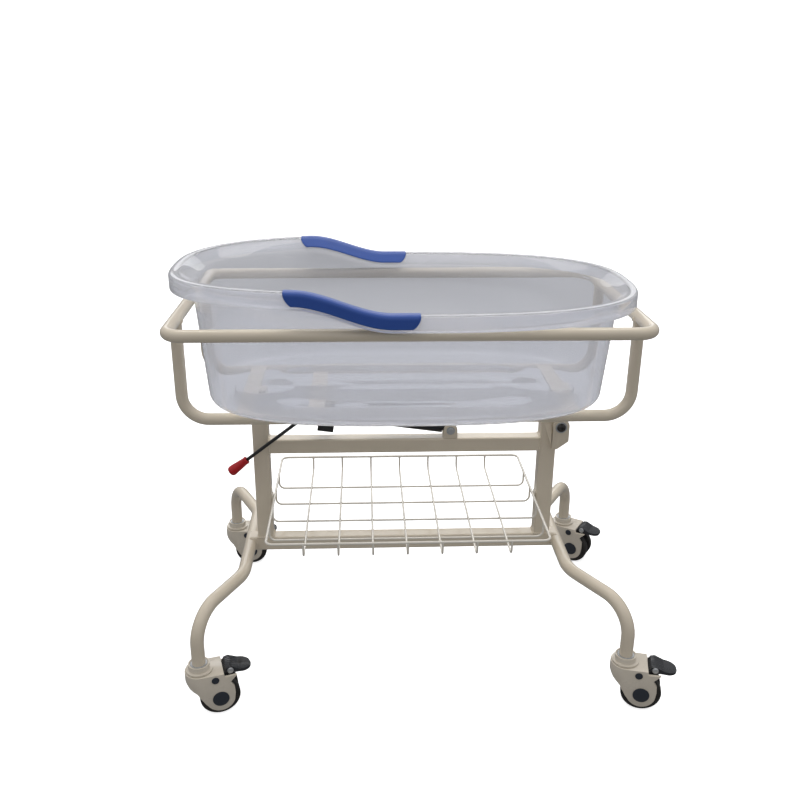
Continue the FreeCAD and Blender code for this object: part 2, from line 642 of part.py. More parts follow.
# ---------------------------------------------------------------- wire basket
basket_x = size("basket_length") / 2
basket_y = size("basket_width") / 2
rim_z = size("basket_rim_height")
floor_z = size("basket_floor_height")
rim_corners = [Vector(-basket_x, -basket_y, rim_z), Vector(basket_x, -basket_y, rim_z),
               Vector(basket_x, basket_y, rim_z), Vector(-basket_x, basket_y, rim_z)]
rim = swept("basket_rim", rounded_path(rim_corners, [14] * 4, closed=True), "basket_rim_wire / 2")
node(rim, "basket_rim")
wire_top = rim_z - size("basket_rim_wire") / 2
cross_wires = []
for step in range(-3, 4):
    x = step * size("cross_wire_step") - 2
    corners = [Vector(x, -basket_y, wire_top), Vector(x, -basket_y, floor_z),
               Vector(x, basket_y, floor_z), Vector(x, basket_y, wire_top)]
    cross_wires.append(swept("cross_wire", rounded_path(corners, [0, 12, 12, 0]), "basket_wire / 2"))
node(gathered("cross_wires", cross_wires), "basket_cross_wires")
long_wires = []
for step in range(4):
    y = (1.4 - step) * size("long_wire_step")
    low = floor_z - size("basket_wire")
    corners = [Vector(-basket_x, y, wire_top), Vector(-basket_x, y, low),
               Vector(basket_x, y, low), Vector(basket_x, y, wire_top)]
    long_wires.append(swept("long_wire", rounded_path(corners, [0, 12, 12, 0]), "basket_wire / 2"))
node(gathered("long_wires", long_wires), "basket_long_wires")
tabs = []
for side in (-1, 1):
    inner = "basket_length / 2 + basket_rim_wire / 2"
    limits = (f"-({inner} + 2.5)", f"-({inner})") if side < 0 else (inner, f"{inner} + 2.5")
    tabs.append(block("tab", limits, ("-9", "9"), ("basket_rim_height - 7", "basket_rim_height + 7")))
node(gathered("tabs", tabs), "basket_tabs")


# ---------------------------------------------------------------- tub

tub_centre = size("tub_x")
wall_centre = size("tub_wall_x")
wall_half = size("tub_wall_length") / 2
crest_start = size("crest_step_start")
crest_end = size("crest_step_end")
rise = size("crest_step")
dip = size("crest_dip")
half_length = size("tub_length") / 2
half_width = size("tub_width") / 2


def step_at(x):
    """How far the rim has risen at x above its level at the foot."""
    t = min(max((crest_start - x) / (crest_start - crest_end), 0), 1)
    past = max(0, crest_end - x) / (half_length + crest_end)
    return rise * t * t * (3 - 2 * t) - dip * past * past


def oval(a, b, power, height, follow, centre=wall_centre):
    """A closed rounded outline in four arcs; follow is the share of the rim's step it takes up."""
    points = []
    for i in range(120):
        turn = math.radians(3 * i)
        c = math.cos(turn)
        s = math.sin(turn)
        reach = (abs(c / a) ** power + abs(s / b) ** power) ** (-1 / power)
        x = centre + reach * c
        points.append(Vector(x, reach * s, height + follow * step_at(x)))
    curve = Part.BSplineCurve()
    curve.interpolate(Points=points, PeriodicFlag=True, Parameters=[i / 120 for i in range(121)])
    return Part.Wire([curve.toShape(i / 4, (i + 1) / 4) for i in range(4)])


def quarter(radius, steps):
    """Corner of a quarter round: how far in and how far down, from side to top."""
    turns = [math.radians(90 * i / steps) for i in range(steps + 1)]
    return [(radius * (1 - math.cos(t)), radius * (1 - math.sin(t))) for t in turns]


wall = size("tub_wall")
crest = size("crest_foot")
skirt = size("skirt_drop")
edge = size("skirt_round")
power = size("tub_power")
floor_power = size("tub_floor_power")
floor_a = size("tub_floor_length") / 2
floor_b = size("tub_floor_width") / 2
base_z = size("tub_base")
base_round = size("tub_floor_round")
flare = size("flare_inset")
drop = size("flare_drop")
top_in = size("crest_inset")
pad_a = size("platform_length") / 2
pad_b = size("platform_width") / 2
pad_rise = size("platform_rise")


def rim_span(inset):
    """Half the rim's length and its centre, moved in; the end walls come in less than the sides."""
    share = inset / flare
    return half_length + (wall_half - half_length) * share, tub_centre + (wall_centre - tub_centre) * share


def rim_oval(inset, below):
    half_span, centre = rim_span(inset)
    return oval(half_span, half_width - inset, power, crest - below, 1, centre)


# Outside skin from the flat underside out, up, over the flare and down the skirt.
rings = []
for inward, down in reversed(quarter(base_round, 5)):
    rings.append(oval(floor_a - inward, floor_b - inward, floor_power, base_z + down, 0))
rings.append(rim_oval(flare, skirt + 6))
rings.append(rim_oval(flare - 0.8, drop + 4.4))
rings.append(rim_oval(flare - 2.3, drop + 2))
rings.append(rim_oval(top_in + 1.5, wall + 0.8))
rings.append(rim_oval(top_in - 1, wall))
for inward, down in reversed(quarter(edge - wall, 3)):
    rings.append(rim_oval(wall + inward, wall + down))
rings.append(rim_oval(wall, skirt))
# Foot of the skirt, then the inside skin back over the crest and down to the platform.
rings.append(rim_oval(0, skirt))
for inward, down in quarter(edge, 5):
    rings.append(rim_oval(inward, down))
rings.append(rim_oval(top_in - 3, 0))
rings.append(rim_oval(top_in, 0.7))
rings.append(rim_oval(top_in + 2.4, 2.4))
rings.append(rim_oval(flare - 1.8, drop - 1.8))
rings.append(rim_oval(flare + 0.8, drop + 1.4))
rings.append(rim_oval(flare + 2.4, drop + 5))
rings.append(rim_oval(flare + wall, drop + 10))
for inward, down in quarter(base_round - wall, 5):
    a = floor_a - wall - inward
    b = floor_b - wall - inward
    rings.append(oval(a, b, floor_power, base_z + wall + down, 0))
rings.append(oval(pad_a + 4, pad_b + 4, 2.6, base_z + wall, 0))
rings.append(oval(pad_a, pad_b, 2.6, base_z + wall + pad_rise, 0))
skin = Part.makeLoft(rings, False, True)
caps = [Part.Face(rings[0]), Part.Face(rings[-1])]
shell = Part.makeShell(skin.Faces + caps)
shell.sewShape()
tub_solid = Part.makeSolid(shell)
if tub_solid.Volume < 0:
    tub_solid.reverse()

# Two long shallow recesses with round ends in the platform, and blind round drain marks.
platform_top = base_z + wall + pad_rise
recess_half = size("recess_width") / 2
recess_depth = size("recess_depth")
for side in (-1, 1):
    y = side * size("recess_spread") / 2
    ends = [size("recess_start") + recess_half, size("recess_end") - recess_half]
    corner = Vector(ends[0], y - recess_half, platform_top - recess_depth)
    recess = Part.makeBox(ends[1] - ends[0], 2 * recess_half, recess_depth + 1, corner)
    for x in ends:
        recess = recess.fuse(Part.makeCylinder(recess_half, recess_depth + 1, Vector(x, y, corner.z)))
    tub_solid = tub_solid.cut(recess.removeSplitter())
drain = size("drain_size") / 2
drain_depth = size("drain_depth")
for x, y, level in ((-235, 0, 0), (-84, 0, 0), (70, 0, 0), (147.5, 0, 0), (225, 0, 0),
                    (-100, -92, recess_depth), (-9, -92, recess_depth), (84, -92, recess_depth)):
    mark = Part.makeCylinder(drain, drain_depth + level + 1, Vector(x, y, platform_top - level - drain_depth))
    tub_solid = tub_solid.cut(mark)
tub = doc.addObject("Part::Feature", "tub_shell_solid")
tub.Shape = tub_solid.Solids[0] if len(tub_solid.Solids) == 1 else tub_solid
node(tub, "tub_shell")

# Grips: thin saddles over the rim on both long sides.
grip_gap = 0.2
grip_out = grip_gap + size("grip_thick")
for side, label in ((-1, "grip_front"), (1, "grip_back")):
    sections = []
    for i in range(16):
        x = size("grip_start") + (size("grip_end") - size("grip_start")) * i / 15
        top = crest + step_at(x)
        path = []
        for offset, lift in ((grip_gap, 0.45), (grip_out, grip_out)):
            arc = [(-offset * math.cos(t) + edge * (1 - math.cos(t)), -offset * math.sin(t) + edge * (1 - math.sin(t)))
                   for t in [math.radians(18 * k) for k in range(6)]]
            run = [(-offset, skirt - 6)] + arc + [(top_in - 3, -offset), (top_in + 0.5 * lift, 0.7 - lift),
                                                  (21.4 + 0.6 * lift, 2.4 - 0.85 * lift),
                                                  (36 + 0.707 * lift, 17 - 0.707 * lift)]
            path.append(run if offset == grip_gap else list(reversed(run)))
        points = []
        for inset, down in path[0] + path[1]:
            half_span, centre = rim_span(inset)
            share = 1 - (abs(x - centre) / half_span) ** power
            points.append(Vector(x, side * (half_width - inset) * share ** (1 / power), top - down))
        sections.append(Part.makePolygon(points + [points[0]]))
    grip = doc.addObject("Part::Feature", label + "_solid")
    grip.Shape = Part.makeLoft(sections, True, False)
    node(grip, label)


# ---------------------------------------------------------------- castors
def turned(item, label, x, y, heading):
    item.Placement = Placement(Vector(), Rotation(Vector(0, 0, 1), 1))
    node(item, label, x, y)
    item.setExpression("Placement.Rotation.Angle", linked(heading))


def castor(name, x, y, heading):
    """A braked twin-wheel castor, drawn about its own swivel axis and then turned."""
    # Hooded housing: side plates, deck and swivel collar.
    housing = new_body(name + "_housing_body")
    profile = sketch_on(housing, "XZ_Plane")
    draw_outline(profile, [("-28", "90"), ("-28", "74"), ("-21.5", "64.5"), ("-9", "54"), ("-5.2", "44"),
                           ("1", "30.5"), ("wheel_trail - 25.5", "23.5", "28.5"), ("wheel_trail + 26", "30"),
                           ("wheel_trail + 28", "46"), ("wheel_trail + 26.5", "60"),
                           ("wheel_trail + 19.5", "70.5"), ("wheel_trail + 32", "83.5"),
                           ("wheel_trail + 10", "82.5"), ("wheel_trail + 8.5", "90")])
    pad(housing, profile, "2 * housing_outer", symmetric=True)
    profile = sketch_on(housing, "XY_Plane", "100")
    draw_outline(profile, [("1.5", "housing_outer", "housing_outer"), ("1.5", "-housing_outer"),
                           ("1.5", "-housing_outer - 10"), ("-40", "-housing_outer - 10"),
                           ("-40", "housing_outer + 10"), ("1.5", "housing_outer + 10")])
    pocket(housing, profile, "100")
    profile = sketch_on(housing, "XZ_Plane")
    reach = "(wheel_size / 2 + 2.5)"
    draw_outline(profile, [(f"wheel_trail + {reach}", "wheel_size / 2", reach), (f"wheel_trail - {reach}", "wheel_size / 2"),
                           (f"wheel_trail - {reach}", "-5"), (f"wheel_trail + {reach}", "-5")])
    pocket(housing, profile, "2 * housing_inner", symmetric=True)
    profile = sketch_on(housing, "XZ_Plane")
    draw_outline(profile, [("14", "72"), ("40", "60"), ("80", "60"), ("80", "105"),
                           ("wheel_trail + 8.6", "105"), ("wheel_trail + 8.6", "86"), ("14", "86")])
    pocket(housing, profile, "2 * housing_inner", symmetric=True)
    for diameter, base, height in (("44", "88", "4"), ("50", "91.2", "3"), ("39.4", "93.5", "11.5")):
        profile = sketch_on(housing, "XY_Plane", base)
        draw_circle(profile, "0", "0", diameter)
        pad(housing, profile, height)
    for diameter, top, depth in (("34", "105", "1.4"), ("26.4", "105", "4"), ("stem_size + 0.1", "101", "50")):
        profile = sketch_on(housing, "XY_Plane", top)
        draw_circle(profile, "0", "0", diameter)
        pocket(housing, profile, depth)
    turned(housing, name + "_housing", x, y, heading)

    # Axle and pedal pin between the side plates.
    axle = cross_rod("axle", "axle_size / 2", "housing_inner", "wheel_trail", "wheel_size / 2")
    pedal_pin = cross_rod("pedal_pin_bar", "pedal_pin / 2", "housing_inner", "pedal_pin_x", "pedal_pin_z")
    turned(gathered(name + "_pins", [axle, pedal_pin]), name + "_pins", x, y, heading)

    # Dark caps over the ends of both pins.
    caps = []
    for reach_y in ("housing_outer", "-housing_outer - 1.6"):
        caps.append(rod("axle_cap", "15.3", "1.6", ("wheel_trail", reach_y, "wheel_size / 2"), Vector(0, 1, 0)))
        caps.append(rod("pin_cap", "7", "1.6", ("pedal_pin_x", reach_y, "pedal_pin_z"), Vector(0, 1, 0)))
    turned(gathered(name + "_cap_set", caps), name + "_caps", x, y, heading)

    # Twin tyres with rounded shoulders, and the hubs inside them.
    tyres = new_body(name + "_tyres_body")
    profile = sketch_on(tyres, "XZ_Plane")
    draw_circle(profile, "wheel_trail", "wheel_size / 2", "wheel_size")
    draw_circle(profile, "wheel_trail", "wheel_size / 2", "tyre_bead")
    pad(tyres, profile, "2 * tyre_outer", symmetric=True)
    profile = sketch_on(tyres, "XZ_Plane")
    draw_circle(profile, "wheel_trail", "wheel_size / 2", "wheel_size + 10")
    apart = pocket(tyres, profile, "2 * tyre_inner", symmetric=True)
    fillet_circles(tyres, apart, size("wheel_size") / 2, "3.5")
    turned(tyres, name + "_tyres", x, y, heading)
    hubs = new_body(name + "_hubs_body")
    profile = sketch_on(hubs, "XZ_Plane")
    draw_circle(profile, "wheel_trail", "wheel_size / 2", "tyre_bead")
    draw_circle(profile, "wheel_trail", "wheel_size / 2", "axle_size + 0.1")
    pad(hubs, profile, "2 * tyre_outer - 2", symmetric=True)
    profile = sketch_on(hubs, "XZ_Plane")
    draw_circle(profile, "wheel_trail", "wheel_size / 2", "tyre_bead + 10")
    draw_circle(profile, "wheel_trail", "wheel_size / 2", "axle_size + 10")
    pocket(hubs, profile, "2 * tyre_inner + 2", symmetric=True)
    turned(hubs, name + "_hubs", x, y, heading)

    # Brake pedal: an arm on the pin, a raised saddle and a flat pad with a round end.
    pedal = new_body(name + "_pedal_body")
    profile = sketch_on(pedal, "XZ_Plane")
    draw_outline(profile, [("pedal_pin_x - 5", "pedal_pin_z - 1"), ("pedal_pin_x + 4", "pedal_pin_z - 3.6"),
                           ("44", "81.2"), ("66", "83"), ("93", "81"), ("95", "83.5"), ("93", "86"),
                           ("72", "89"), ("62", "93.5"), ("54.5", "96"), ("47.5", "95"), ("42.8", "88"),
                           ("42.8", "85.4"), ("pedal_pin_x - 5", "85")])
    pad(pedal, profile, "38", symmetric=True)
    profile = sketch_on(pedal, "XY_Plane", "110")
    draw_outline(profile, [("76", "-19", "19"), ("76", "19"), ("76", "30"), ("110", "30"),
                           ("110", "-30"), ("76", "-30")])
    pocket(pedal, profile, "60")
    profile = sketch_on(pedal, "XZ_Plane")
    draw_circle(profile, "pedal_pin_x", "pedal_pin_z", "pedal_pin + 0.1")
    pocket(pedal, profile, "60", symmetric=True)
    turned(pedal, name + "_pedal", x, y, heading)


castor("caster_fl", "stem_head", "-stem_spread / 2", "heading_front_head")
castor("caster_fr", "stem_foot", "-stem_spread / 2", "heading_front_foot")
castor("caster_bl", "stem_head", "stem_spread / 2", "heading_back_head")
castor("caster_br", "stem_foot", "stem_spread / 2", "heading_back_foot")

# ---------------------------------------------------------------- checks and export
doc.recompute()
for item in doc.Objects:
    if "Invalid" in item.State or "Error" in item.State:
        raise ValueError(f"{item.Label} did not build: {item.State}")
for label, item in nodes.items():
    if item.Shape.isNull() or not item.Shape.isValid() or item.Shape.Volume < 1:
        raise ValueError(f"{label} has no good solid")
for label, item in nodes.items():
    item.Shape.exportStep(f"parts/{label}.step")
    box = item.Shape.BoundBox
    print(f"{label:22s} {len(item.Shape.Solids)} solids {item.Shape.Volume / 1000:9.2f} cm3 "
          f"X {box.XMin:8.2f} {box.XMax:8.2f} Y {box.YMin:8.2f} {box.YMax:8.2f} Z {box.ZMin:8.2f} {box.ZMax:8.2f}")
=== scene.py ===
import math

import bmesh
import bpy
from mathutils import Matrix, Vector
from mathutils.geometry import delaunay_2d_cdt


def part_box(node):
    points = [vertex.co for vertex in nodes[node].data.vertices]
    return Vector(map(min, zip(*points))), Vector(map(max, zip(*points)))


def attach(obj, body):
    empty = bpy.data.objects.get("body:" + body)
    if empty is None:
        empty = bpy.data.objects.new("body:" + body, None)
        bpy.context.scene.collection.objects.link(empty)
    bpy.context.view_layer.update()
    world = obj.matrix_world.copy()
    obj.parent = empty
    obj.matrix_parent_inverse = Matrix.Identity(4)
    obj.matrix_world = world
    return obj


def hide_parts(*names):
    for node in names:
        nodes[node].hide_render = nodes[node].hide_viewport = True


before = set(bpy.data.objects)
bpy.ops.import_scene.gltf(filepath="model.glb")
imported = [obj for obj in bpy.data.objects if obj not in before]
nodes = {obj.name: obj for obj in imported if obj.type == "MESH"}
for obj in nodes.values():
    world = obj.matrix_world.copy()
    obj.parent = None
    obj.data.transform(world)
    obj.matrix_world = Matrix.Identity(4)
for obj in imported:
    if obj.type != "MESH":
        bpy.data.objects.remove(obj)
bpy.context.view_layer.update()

# ---------------------------------------------------------------- beams and posts
# Two beams and two posts of 30 mm cold-rolled square tube, welded into an upright
# rectangle.  The tube's corners are rolled round, and cream powder coat covers it all.
MM = 0.001
CORNER_RADIUS = 3.2 * MM
TUBE_WALL = 2 * MM
LEG_TUBE_RADIUS = 12.5
LEG_TUBE_HEIGHT = 205
COAT_LIGHT = "#E8DCC7"
COAT_DEEP = "#DFD3BD"
PEEL_GRAIN = 2.2 * MM
WEAR_PATCH = 71.43 * MM


def linear(code):
    """An sRGB hex colour as the linear values that shaders take."""
    channels = [int(code[i:i + 2], 16) / 255 for i in (1, 3, 5)]
    return [c / 12.92 if c <= 0.04045 else ((c + 0.055) / 1.055) ** 2.4 for c in channels] + [1.0]


def add(tree, kind, links=None, **settings):
    """One node with its settings; links gives each socket a value or another node's output."""
    made = tree.nodes.new(kind)
    for name, value in settings.items():
        setattr(made, name, value)
    for socket, value in (links or {}).items():
        if isinstance(value, bpy.types.NodeSocket):
            tree.links.new(value, made.inputs[socket])
        else:
            made.inputs[socket].default_value = value
    return made


def new_finish(name):
    """An empty material, its node tree and its place in object coordinates."""
    material = bpy.data.materials.new(name)
    material.use_nodes = True
    material.node_tree.nodes.clear()
    place = add(material.node_tree, "ShaderNodeTexCoord").outputs["Object"]
    return material, material.node_tree, place


def show(tree, shader):
    """Ends a material's tree."""
    add(tree, "ShaderNodeOutputMaterial", {"Surface": shader.outputs[0]})


# Polyester powder coat, baked on: an even cream with faint orange peel that breaks up the
# highlights, drawn a little coarser than real so that it shows, and slight hand wear.
cream_coat, tree, place = new_finish("cream_powder_coat")
patches = add(tree, "ShaderNodeTexNoise", {"Vector": place, "Scale": 1 / WEAR_PATCH, "Detail": 4.0})
tint = add(tree, "ShaderNodeMix", {0: patches.outputs[0], 6: linear(COAT_LIGHT), 7: linear(COAT_DEEP)},
           data_type="RGBA")
sheen = add(tree, "ShaderNodeMapRange", {"Value": patches.outputs[0], "To Min": 0.24, "To Max": 0.36})
peel = add(tree, "ShaderNodeTexNoise", {"Vector": place, "Scale": 1 / PEEL_GRAIN, "Detail": 1.0})
peel_bump = add(tree, "ShaderNodeBump", {"Height": peel.outputs[0], "Strength": 0.12, "Distance": 0.2 * MM})
shader = add(tree, "ShaderNodeBsdfPrincipled", {
    "Base Color": tint.outputs[2], "Roughness": sheen.outputs[0], "Normal": peel_bump.outputs[0],
    "IOR": 1.5, "Coat Weight": 0.6, "Coat Roughness": 0.06})
show(tree, shader)


def closed_mesh(name, bm):
    """The mesh of a closed shape, with its faces turned outwards."""
    bmesh.ops.recalc_face_normals(bm, faces=bm.faces)
    mesh = bpy.data.meshes.new(name)
    bm.to_mesh(mesh)
    bm.free()
    return mesh


def finish_mesh(name, mesh, body, material=None, replaced=(), smooth_below=35):
    """Makes a mesh into a piece of the object that stands for its CAD nodes."""
    if material is not None:
        mesh.materials.clear()
        mesh.materials.append(material)
    mesh.shade_smooth()
    mesh.set_sharp_from_angle(angle=math.radians(smooth_below))
    piece = bpy.data.objects.new(name, mesh)
    bpy.context.scene.collection.objects.link(piece)
    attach(piece, body)
    if replaced:
        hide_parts(*replaced)
    return piece


def rounded_square(half_u, half_v, radius, side_steps, arc_steps=5):
    """Points round a square section with rolled corners, counter-clockwise."""
    points = []
    for quarter, (su, sv) in enumerate(((1, 1), (-1, 1), (-1, -1), (1, -1))):
        centre = (su * (half_u - radius), sv * (half_v - radius))
        for i in range(arc_steps + 1):
            turn = math.radians(90 * quarter + 90 * i / arc_steps)
            points.append((centre[0] + radius * math.cos(turn), centre[1] + radius * math.sin(turn)))
        following = ((-1, 1), (-1, -1), (1, -1), (1, 1))[quarter]
        turn = math.radians(90 * quarter + 90)
        last = points[-1]
        target = (following[0] * (half_u - radius) + radius * math.cos(turn),
                  following[1] * (half_v - radius) + radius * math.sin(turn))
        for i in range(1, side_steps):
            t = i / side_steps
            points.append((last[0] + (target[0] - last[0]) * t, last[1] + (target[1] - last[1]) * t))
    return points


def square_tube(node, along, saddle_height=None):
    """A length of rolled square tube in a node's box; saddle_height copes both ends to a leg tube."""
    low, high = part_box(node)
    middle = (low + high) / 2
    across = [axis for axis in range(3) if axis != along]
    half = [(high[axis] - low[axis]) / 2 for axis in across]
    bm = bmesh.new()
    loops = []
    for inset in (0, TUBE_WALL):
        section = rounded_square(half[0] - inset, half[1] - inset, CORNER_RADIUS - inset * 0.8, 16)
        for end in (low[along], high[along]):
            loop = []
            for u, v in section:
                point = middle.copy()
                point[across[0]] += u
                point[across[1]] += v
                reach = 0
                if saddle_height is not None:
                    reach = math.sqrt(max((LEG_TUBE_RADIUS * MM) ** 2 - (point.z - saddle_height) ** 2, 0))
                point[along] = end + math.copysign(reach, middle[along] - end)
                loop.append(bm.verts.new(point))
            loops.append(loop)
    count = len(loops[0])
    for first, second in ((0, 1), (3, 2), (2, 0), (1, 3)):
        for i in range(count):
            j = (i + 1) % count
            bm.faces.new((loops[first][i], loops[first][j], loops[second][j], loops[second][i]))
    return finish_mesh("coated_" + node, closed_mesh(node, bm), "base", cream_coat, [node])


square_tube("lower_beam", 0, saddle_height=LEG_TUBE_HEIGHT * MM)
square_tube("upper_beam", 0)
square_tube("post_head", 2)
square_tube("post_foot", 2)

# ---------------------------------------------------------------- bent tubes
# Two leg tubes of 25 mm, the closed cradle ring and the two hangers of 22 mm: round
# seam-welded steel tube, cold bent on a mandrel and coated like the frame.
# Their centrelines are given by their corners, each with its own bending radius.
SHIFT = Vector((-33.37, 6.8, 0))
STEM_Y = 271
KNEE_X = 321
KNEE_Y = 128
RING_X = 410
RING_Y = 235
RING_HEIGHT = 723
HANGER_Y = 135
HANGER_LOW = 536
CRADLE_TUBE_RADIUS = 11


def new_tree(name, **inputs):
    """A geometry tree with named inputs, and its group input node."""
    tree = bpy.data.node_groups.new(name, "GeometryNodeTree")
    tree.interface.new_socket("Geometry", in_out="INPUT", socket_type="NodeSocketGeometry")
    for label, (kind, value) in inputs.items():
        socket = tree.interface.new_socket(label, in_out="INPUT", socket_type="NodeSocket" + kind)
        if value is not None:
            socket.default_value = value
    tree.interface.new_socket("Geometry", in_out="OUTPUT", socket_type="NodeSocketGeometry")
    return tree, add(tree, "NodeGroupInput")


def end_tree(tree, made, given):
    """Turns what a geometry tree has made into real geometry with its finish."""
    solid = add(tree, "GeometryNodeRealizeInstances", {0: made.outputs[0]})
    coated = add(tree, "GeometryNodeSetMaterial", {
        "Geometry": solid.outputs[0], "Material": given.outputs["finish"]})
    add(tree, "NodeGroupOutput", {0: coated.outputs[0]})


# A row of equal bars: each follows the path with an arc at every corner that has a bend.
bent_bars, given = new_tree(
    "bent_bars", bar_radius=("Float", 0.01), sides=("Int", 32), count=("Int", 1),
    step=("Vector", (0, 0, 0)), finish=("Material", None))
row = add(bent_bars, "GeometryNodeMeshLine", {
    "Count": given.outputs["count"], "Offset": given.outputs["step"]})
placed = add(bent_bars, "GeometryNodeInstanceOnPoints", {
    "Points": row.outputs[0], "Instance": given.outputs[0]})
paths = add(bent_bars, "GeometryNodeRealizeInstances", {0: placed.outputs[0]})
lines = add(bent_bars, "GeometryNodeMeshToCurve", {0: paths.outputs[0]})
bend = add(bent_bars, "GeometryNodeInputNamedAttribute", {"Name": "bend"}, data_type="FLOAT")
arcs = add(bent_bars, "GeometryNodeFilletCurve", {
    "Curve": lines.outputs[0], "Radius": bend.outputs[0], "Count": 14}, mode="POLY")
section = add(bent_bars, "GeometryNodeCurvePrimitiveCircle", {
    "Resolution": given.outputs["sides"], "Radius": given.outputs["bar_radius"]})
bars = add(bent_bars, "GeometryNodeCurveToMesh", {
    "Curve": arcs.outputs[0], "Profile Curve": section.outputs[0], "Fill Caps": True})
end_tree(bent_bars, bars, given)


def path_mesh(name, points, closed=False):
    """The corners of a path, in millimetres from the centre of the cradle ring, as a mesh line."""
    mesh = bpy.data.meshes.new(name)
    corners = [(Vector(point[:3]) + SHIFT) * MM for point in points]
    edges = [(i, i + 1) for i in range(len(points) - 1)]
    mesh.from_pydata(corners, edges + ([(len(points) - 1, 0)] if closed else []), [])
    bend = mesh.attributes.new("bend", "FLOAT", "POINT")
    for i, point in enumerate(points):
        bend.data[i].value = point[3] * MM if len(point) > 3 else 0
    return mesh


def grown(name, tree, mesh, **values):
    """The plain mesh that a geometry tree makes from a mesh."""
    carrier = bpy.data.objects.new(name + "_carrier", mesh)
    bpy.context.scene.collection.objects.link(carrier)
    modifier = carrier.modifiers.new("grow", "NODES")
    modifier.node_group = tree
    for item in tree.interface.items_tree:
        if item.in_out == "INPUT" and item.name in values:
            modifier[item.identifier] = values[item.name]
    bpy.context.view_layer.update()
    result = bpy.data.meshes.new_from_object(carrier.evaluated_get(bpy.context.evaluated_depsgraph_get()))
    carrier.modifiers.clear()
    bpy.data.objects.remove(carrier)
    bm = bmesh.new()
    bm.from_mesh(result)
    bmesh.ops.recalc_face_normals(bm, faces=bm.faces)
    bm.to_mesh(result)
    bm.free()
    result.name = name
    return result


def bent_tube(name, points, radius, body, replaced, closed=False, sides=32, material=cream_coat,
              count=1, step=(0, 0, 0)):
    """A tube or bar along a path, or a row of them a step apart."""
    made = grown(name, bent_bars, path_mesh(name, points, closed), bar_radius=radius * MM, sides=sides,
                 count=count, step=tuple(s * MM for s in step), finish=material)
    return finish_mesh(name, made, body, None, replaced)


for end, knee_x, stem_x in (("head", -KNEE_X, -392), ("foot", KNEE_X, 408)):
    half_leg = [(stem_x, STEM_Y, 101.5), (stem_x, STEM_Y, LEG_TUBE_HEIGHT, 62),
                (knee_x, KNEE_Y, LEG_TUBE_HEIGHT, 90)]
    leg = [(x, -y, *rest) for x, y, *rest in half_leg] + half_leg[::-1]
    bent_tube(f"leg_{end}", leg, LEG_TUBE_RADIUS, "base", [f"leg_tube_{end}"])
ring = [(x * RING_X, y * RING_Y, RING_HEIGHT, 30) for x, y in ((-1, -1), (1, -1), (1, 1), (-1, 1))]
bent_tube("ring_tube", ring, CRADLE_TUBE_RADIUS, "cradle", ["cradle_ring"], closed=True)
hanger = [(-RING_X, -HANGER_Y, RING_HEIGHT), (-RING_X, -HANGER_Y, HANGER_LOW, 47),
          (RING_X, -HANGER_Y, HANGER_LOW, 47), (RING_X, -HANGER_Y, RING_HEIGHT)]
bent_tube("hanger_tubes", hanger, CRADLE_TUBE_RADIUS, "cradle",
          ["hanger_front", "hanger_back"], count=2, step=(0, 2 * HANGER_Y, 0))

# ---------------------------------------------------------------- welds
# Hand-laid MIG beads round every joint of the tubes, covered by the powder coat.
# Each is a row of overlapping ripples, a little uneven in size.
WELD_PITCH = 2 * MM
WELD_BEAD = 2.2 * MM
weld_bead, given = new_tree(
    "weld_bead", pitch=("Float", WELD_PITCH), bead=("Float", WELD_BEAD), finish=("Material", None))
seam = add(weld_bead, "GeometryNodeMeshToCurve", {0: given.outputs[0]})
spots = add(weld_bead, "GeometryNodeResampleCurve", {
    "Curve": seam.outputs[0], "Length": given.outputs["pitch"]}, mode="LENGTH")
ripple = add(weld_bead, "GeometryNodeMeshUVSphere", {
    "Segments": 10, "Rings": 6, "Radius": given.outputs["bead"]})
uneven = add(weld_bead, "FunctionNodeRandomValue", {"Seed": 4}, data_type="FLOAT")
for socket, value in (("Min", 0.82), ("Max", 1.12)):
    [s for s in uneven.inputs if s.name == socket and s.type == "VALUE"][0].default_value = value
ripples = add(weld_bead, "GeometryNodeInstanceOnPoints", {
    "Points": spots.outputs[0], "Instance": ripple.outputs[0],
    "Scale": [s for s in uneven.outputs if s.type == "VALUE" and s.enabled][0]})
end_tree(weld_bead, ripples, given)


def joined_meshes(name, meshes):
    """Several meshes of one material as one mesh."""
    bm = bmesh.new()
    for mesh in meshes:
        bm.from_mesh(mesh)
    whole = bpy.data.meshes.new(name)
    bm.to_mesh(whole)
    bm.free()
    return whole


def weld(name, body, seams):
    """The beads along all the seams of one body."""
    beads = [grown(name, weld_bead, path_mesh(name, seam, closed), pitch=WELD_PITCH, bead=WELD_BEAD,
                   finish=cream_coat) for seam, closed in seams]
    return finish_mesh(name, joined_meshes(name, beads), body, cream_coat, smooth_below=60)


RING_SEAM = 11.4
RING_SEAM_DROP = 10.9
LEG_SEAM = 12.6
ring_seams = []
turns = [math.radians(10 * i) for i in range(36)]
for x in (-RING_X, RING_X):
    for y in (-HANGER_Y, HANGER_Y):
        ring_seams.append(([(x + RING_SEAM * math.cos(t), y + RING_SEAM * math.sin(t),
                             RING_HEIGHT - RING_SEAM_DROP * abs(math.sin(t))) for t in turns], True))
weld("hanger_welds", "cradle", ring_seams)
frame_seams = []
for x in (-289, 289.5):
    foot = [(x - 16, -15, 220.3), (x + 16, -15, 220.3), (x + 16, 15, 220.3), (x - 16, 15, 220.3)]
    frame_seams.append((foot, True))
for x in (-273, 273):
    frame_seams.append(([(x, -15, 411.5), (x, 15, 411.5), (x, 15, 439.5), (x, -15, 439.5)], True))
turns = [math.radians(-88 + 16 * i) for i in range(12)]
for x in (-KNEE_X, KNEE_X):
    inner = math.copysign(LEG_SEAM, -x)
    for y in (-15, 15):
        frame_seams.append(([(x + inner * math.cos(t), y, LEG_TUBE_HEIGHT + LEG_SEAM * math.sin(t))
                             for t in turns], False))
weld("frame_welds", "base", frame_seams)

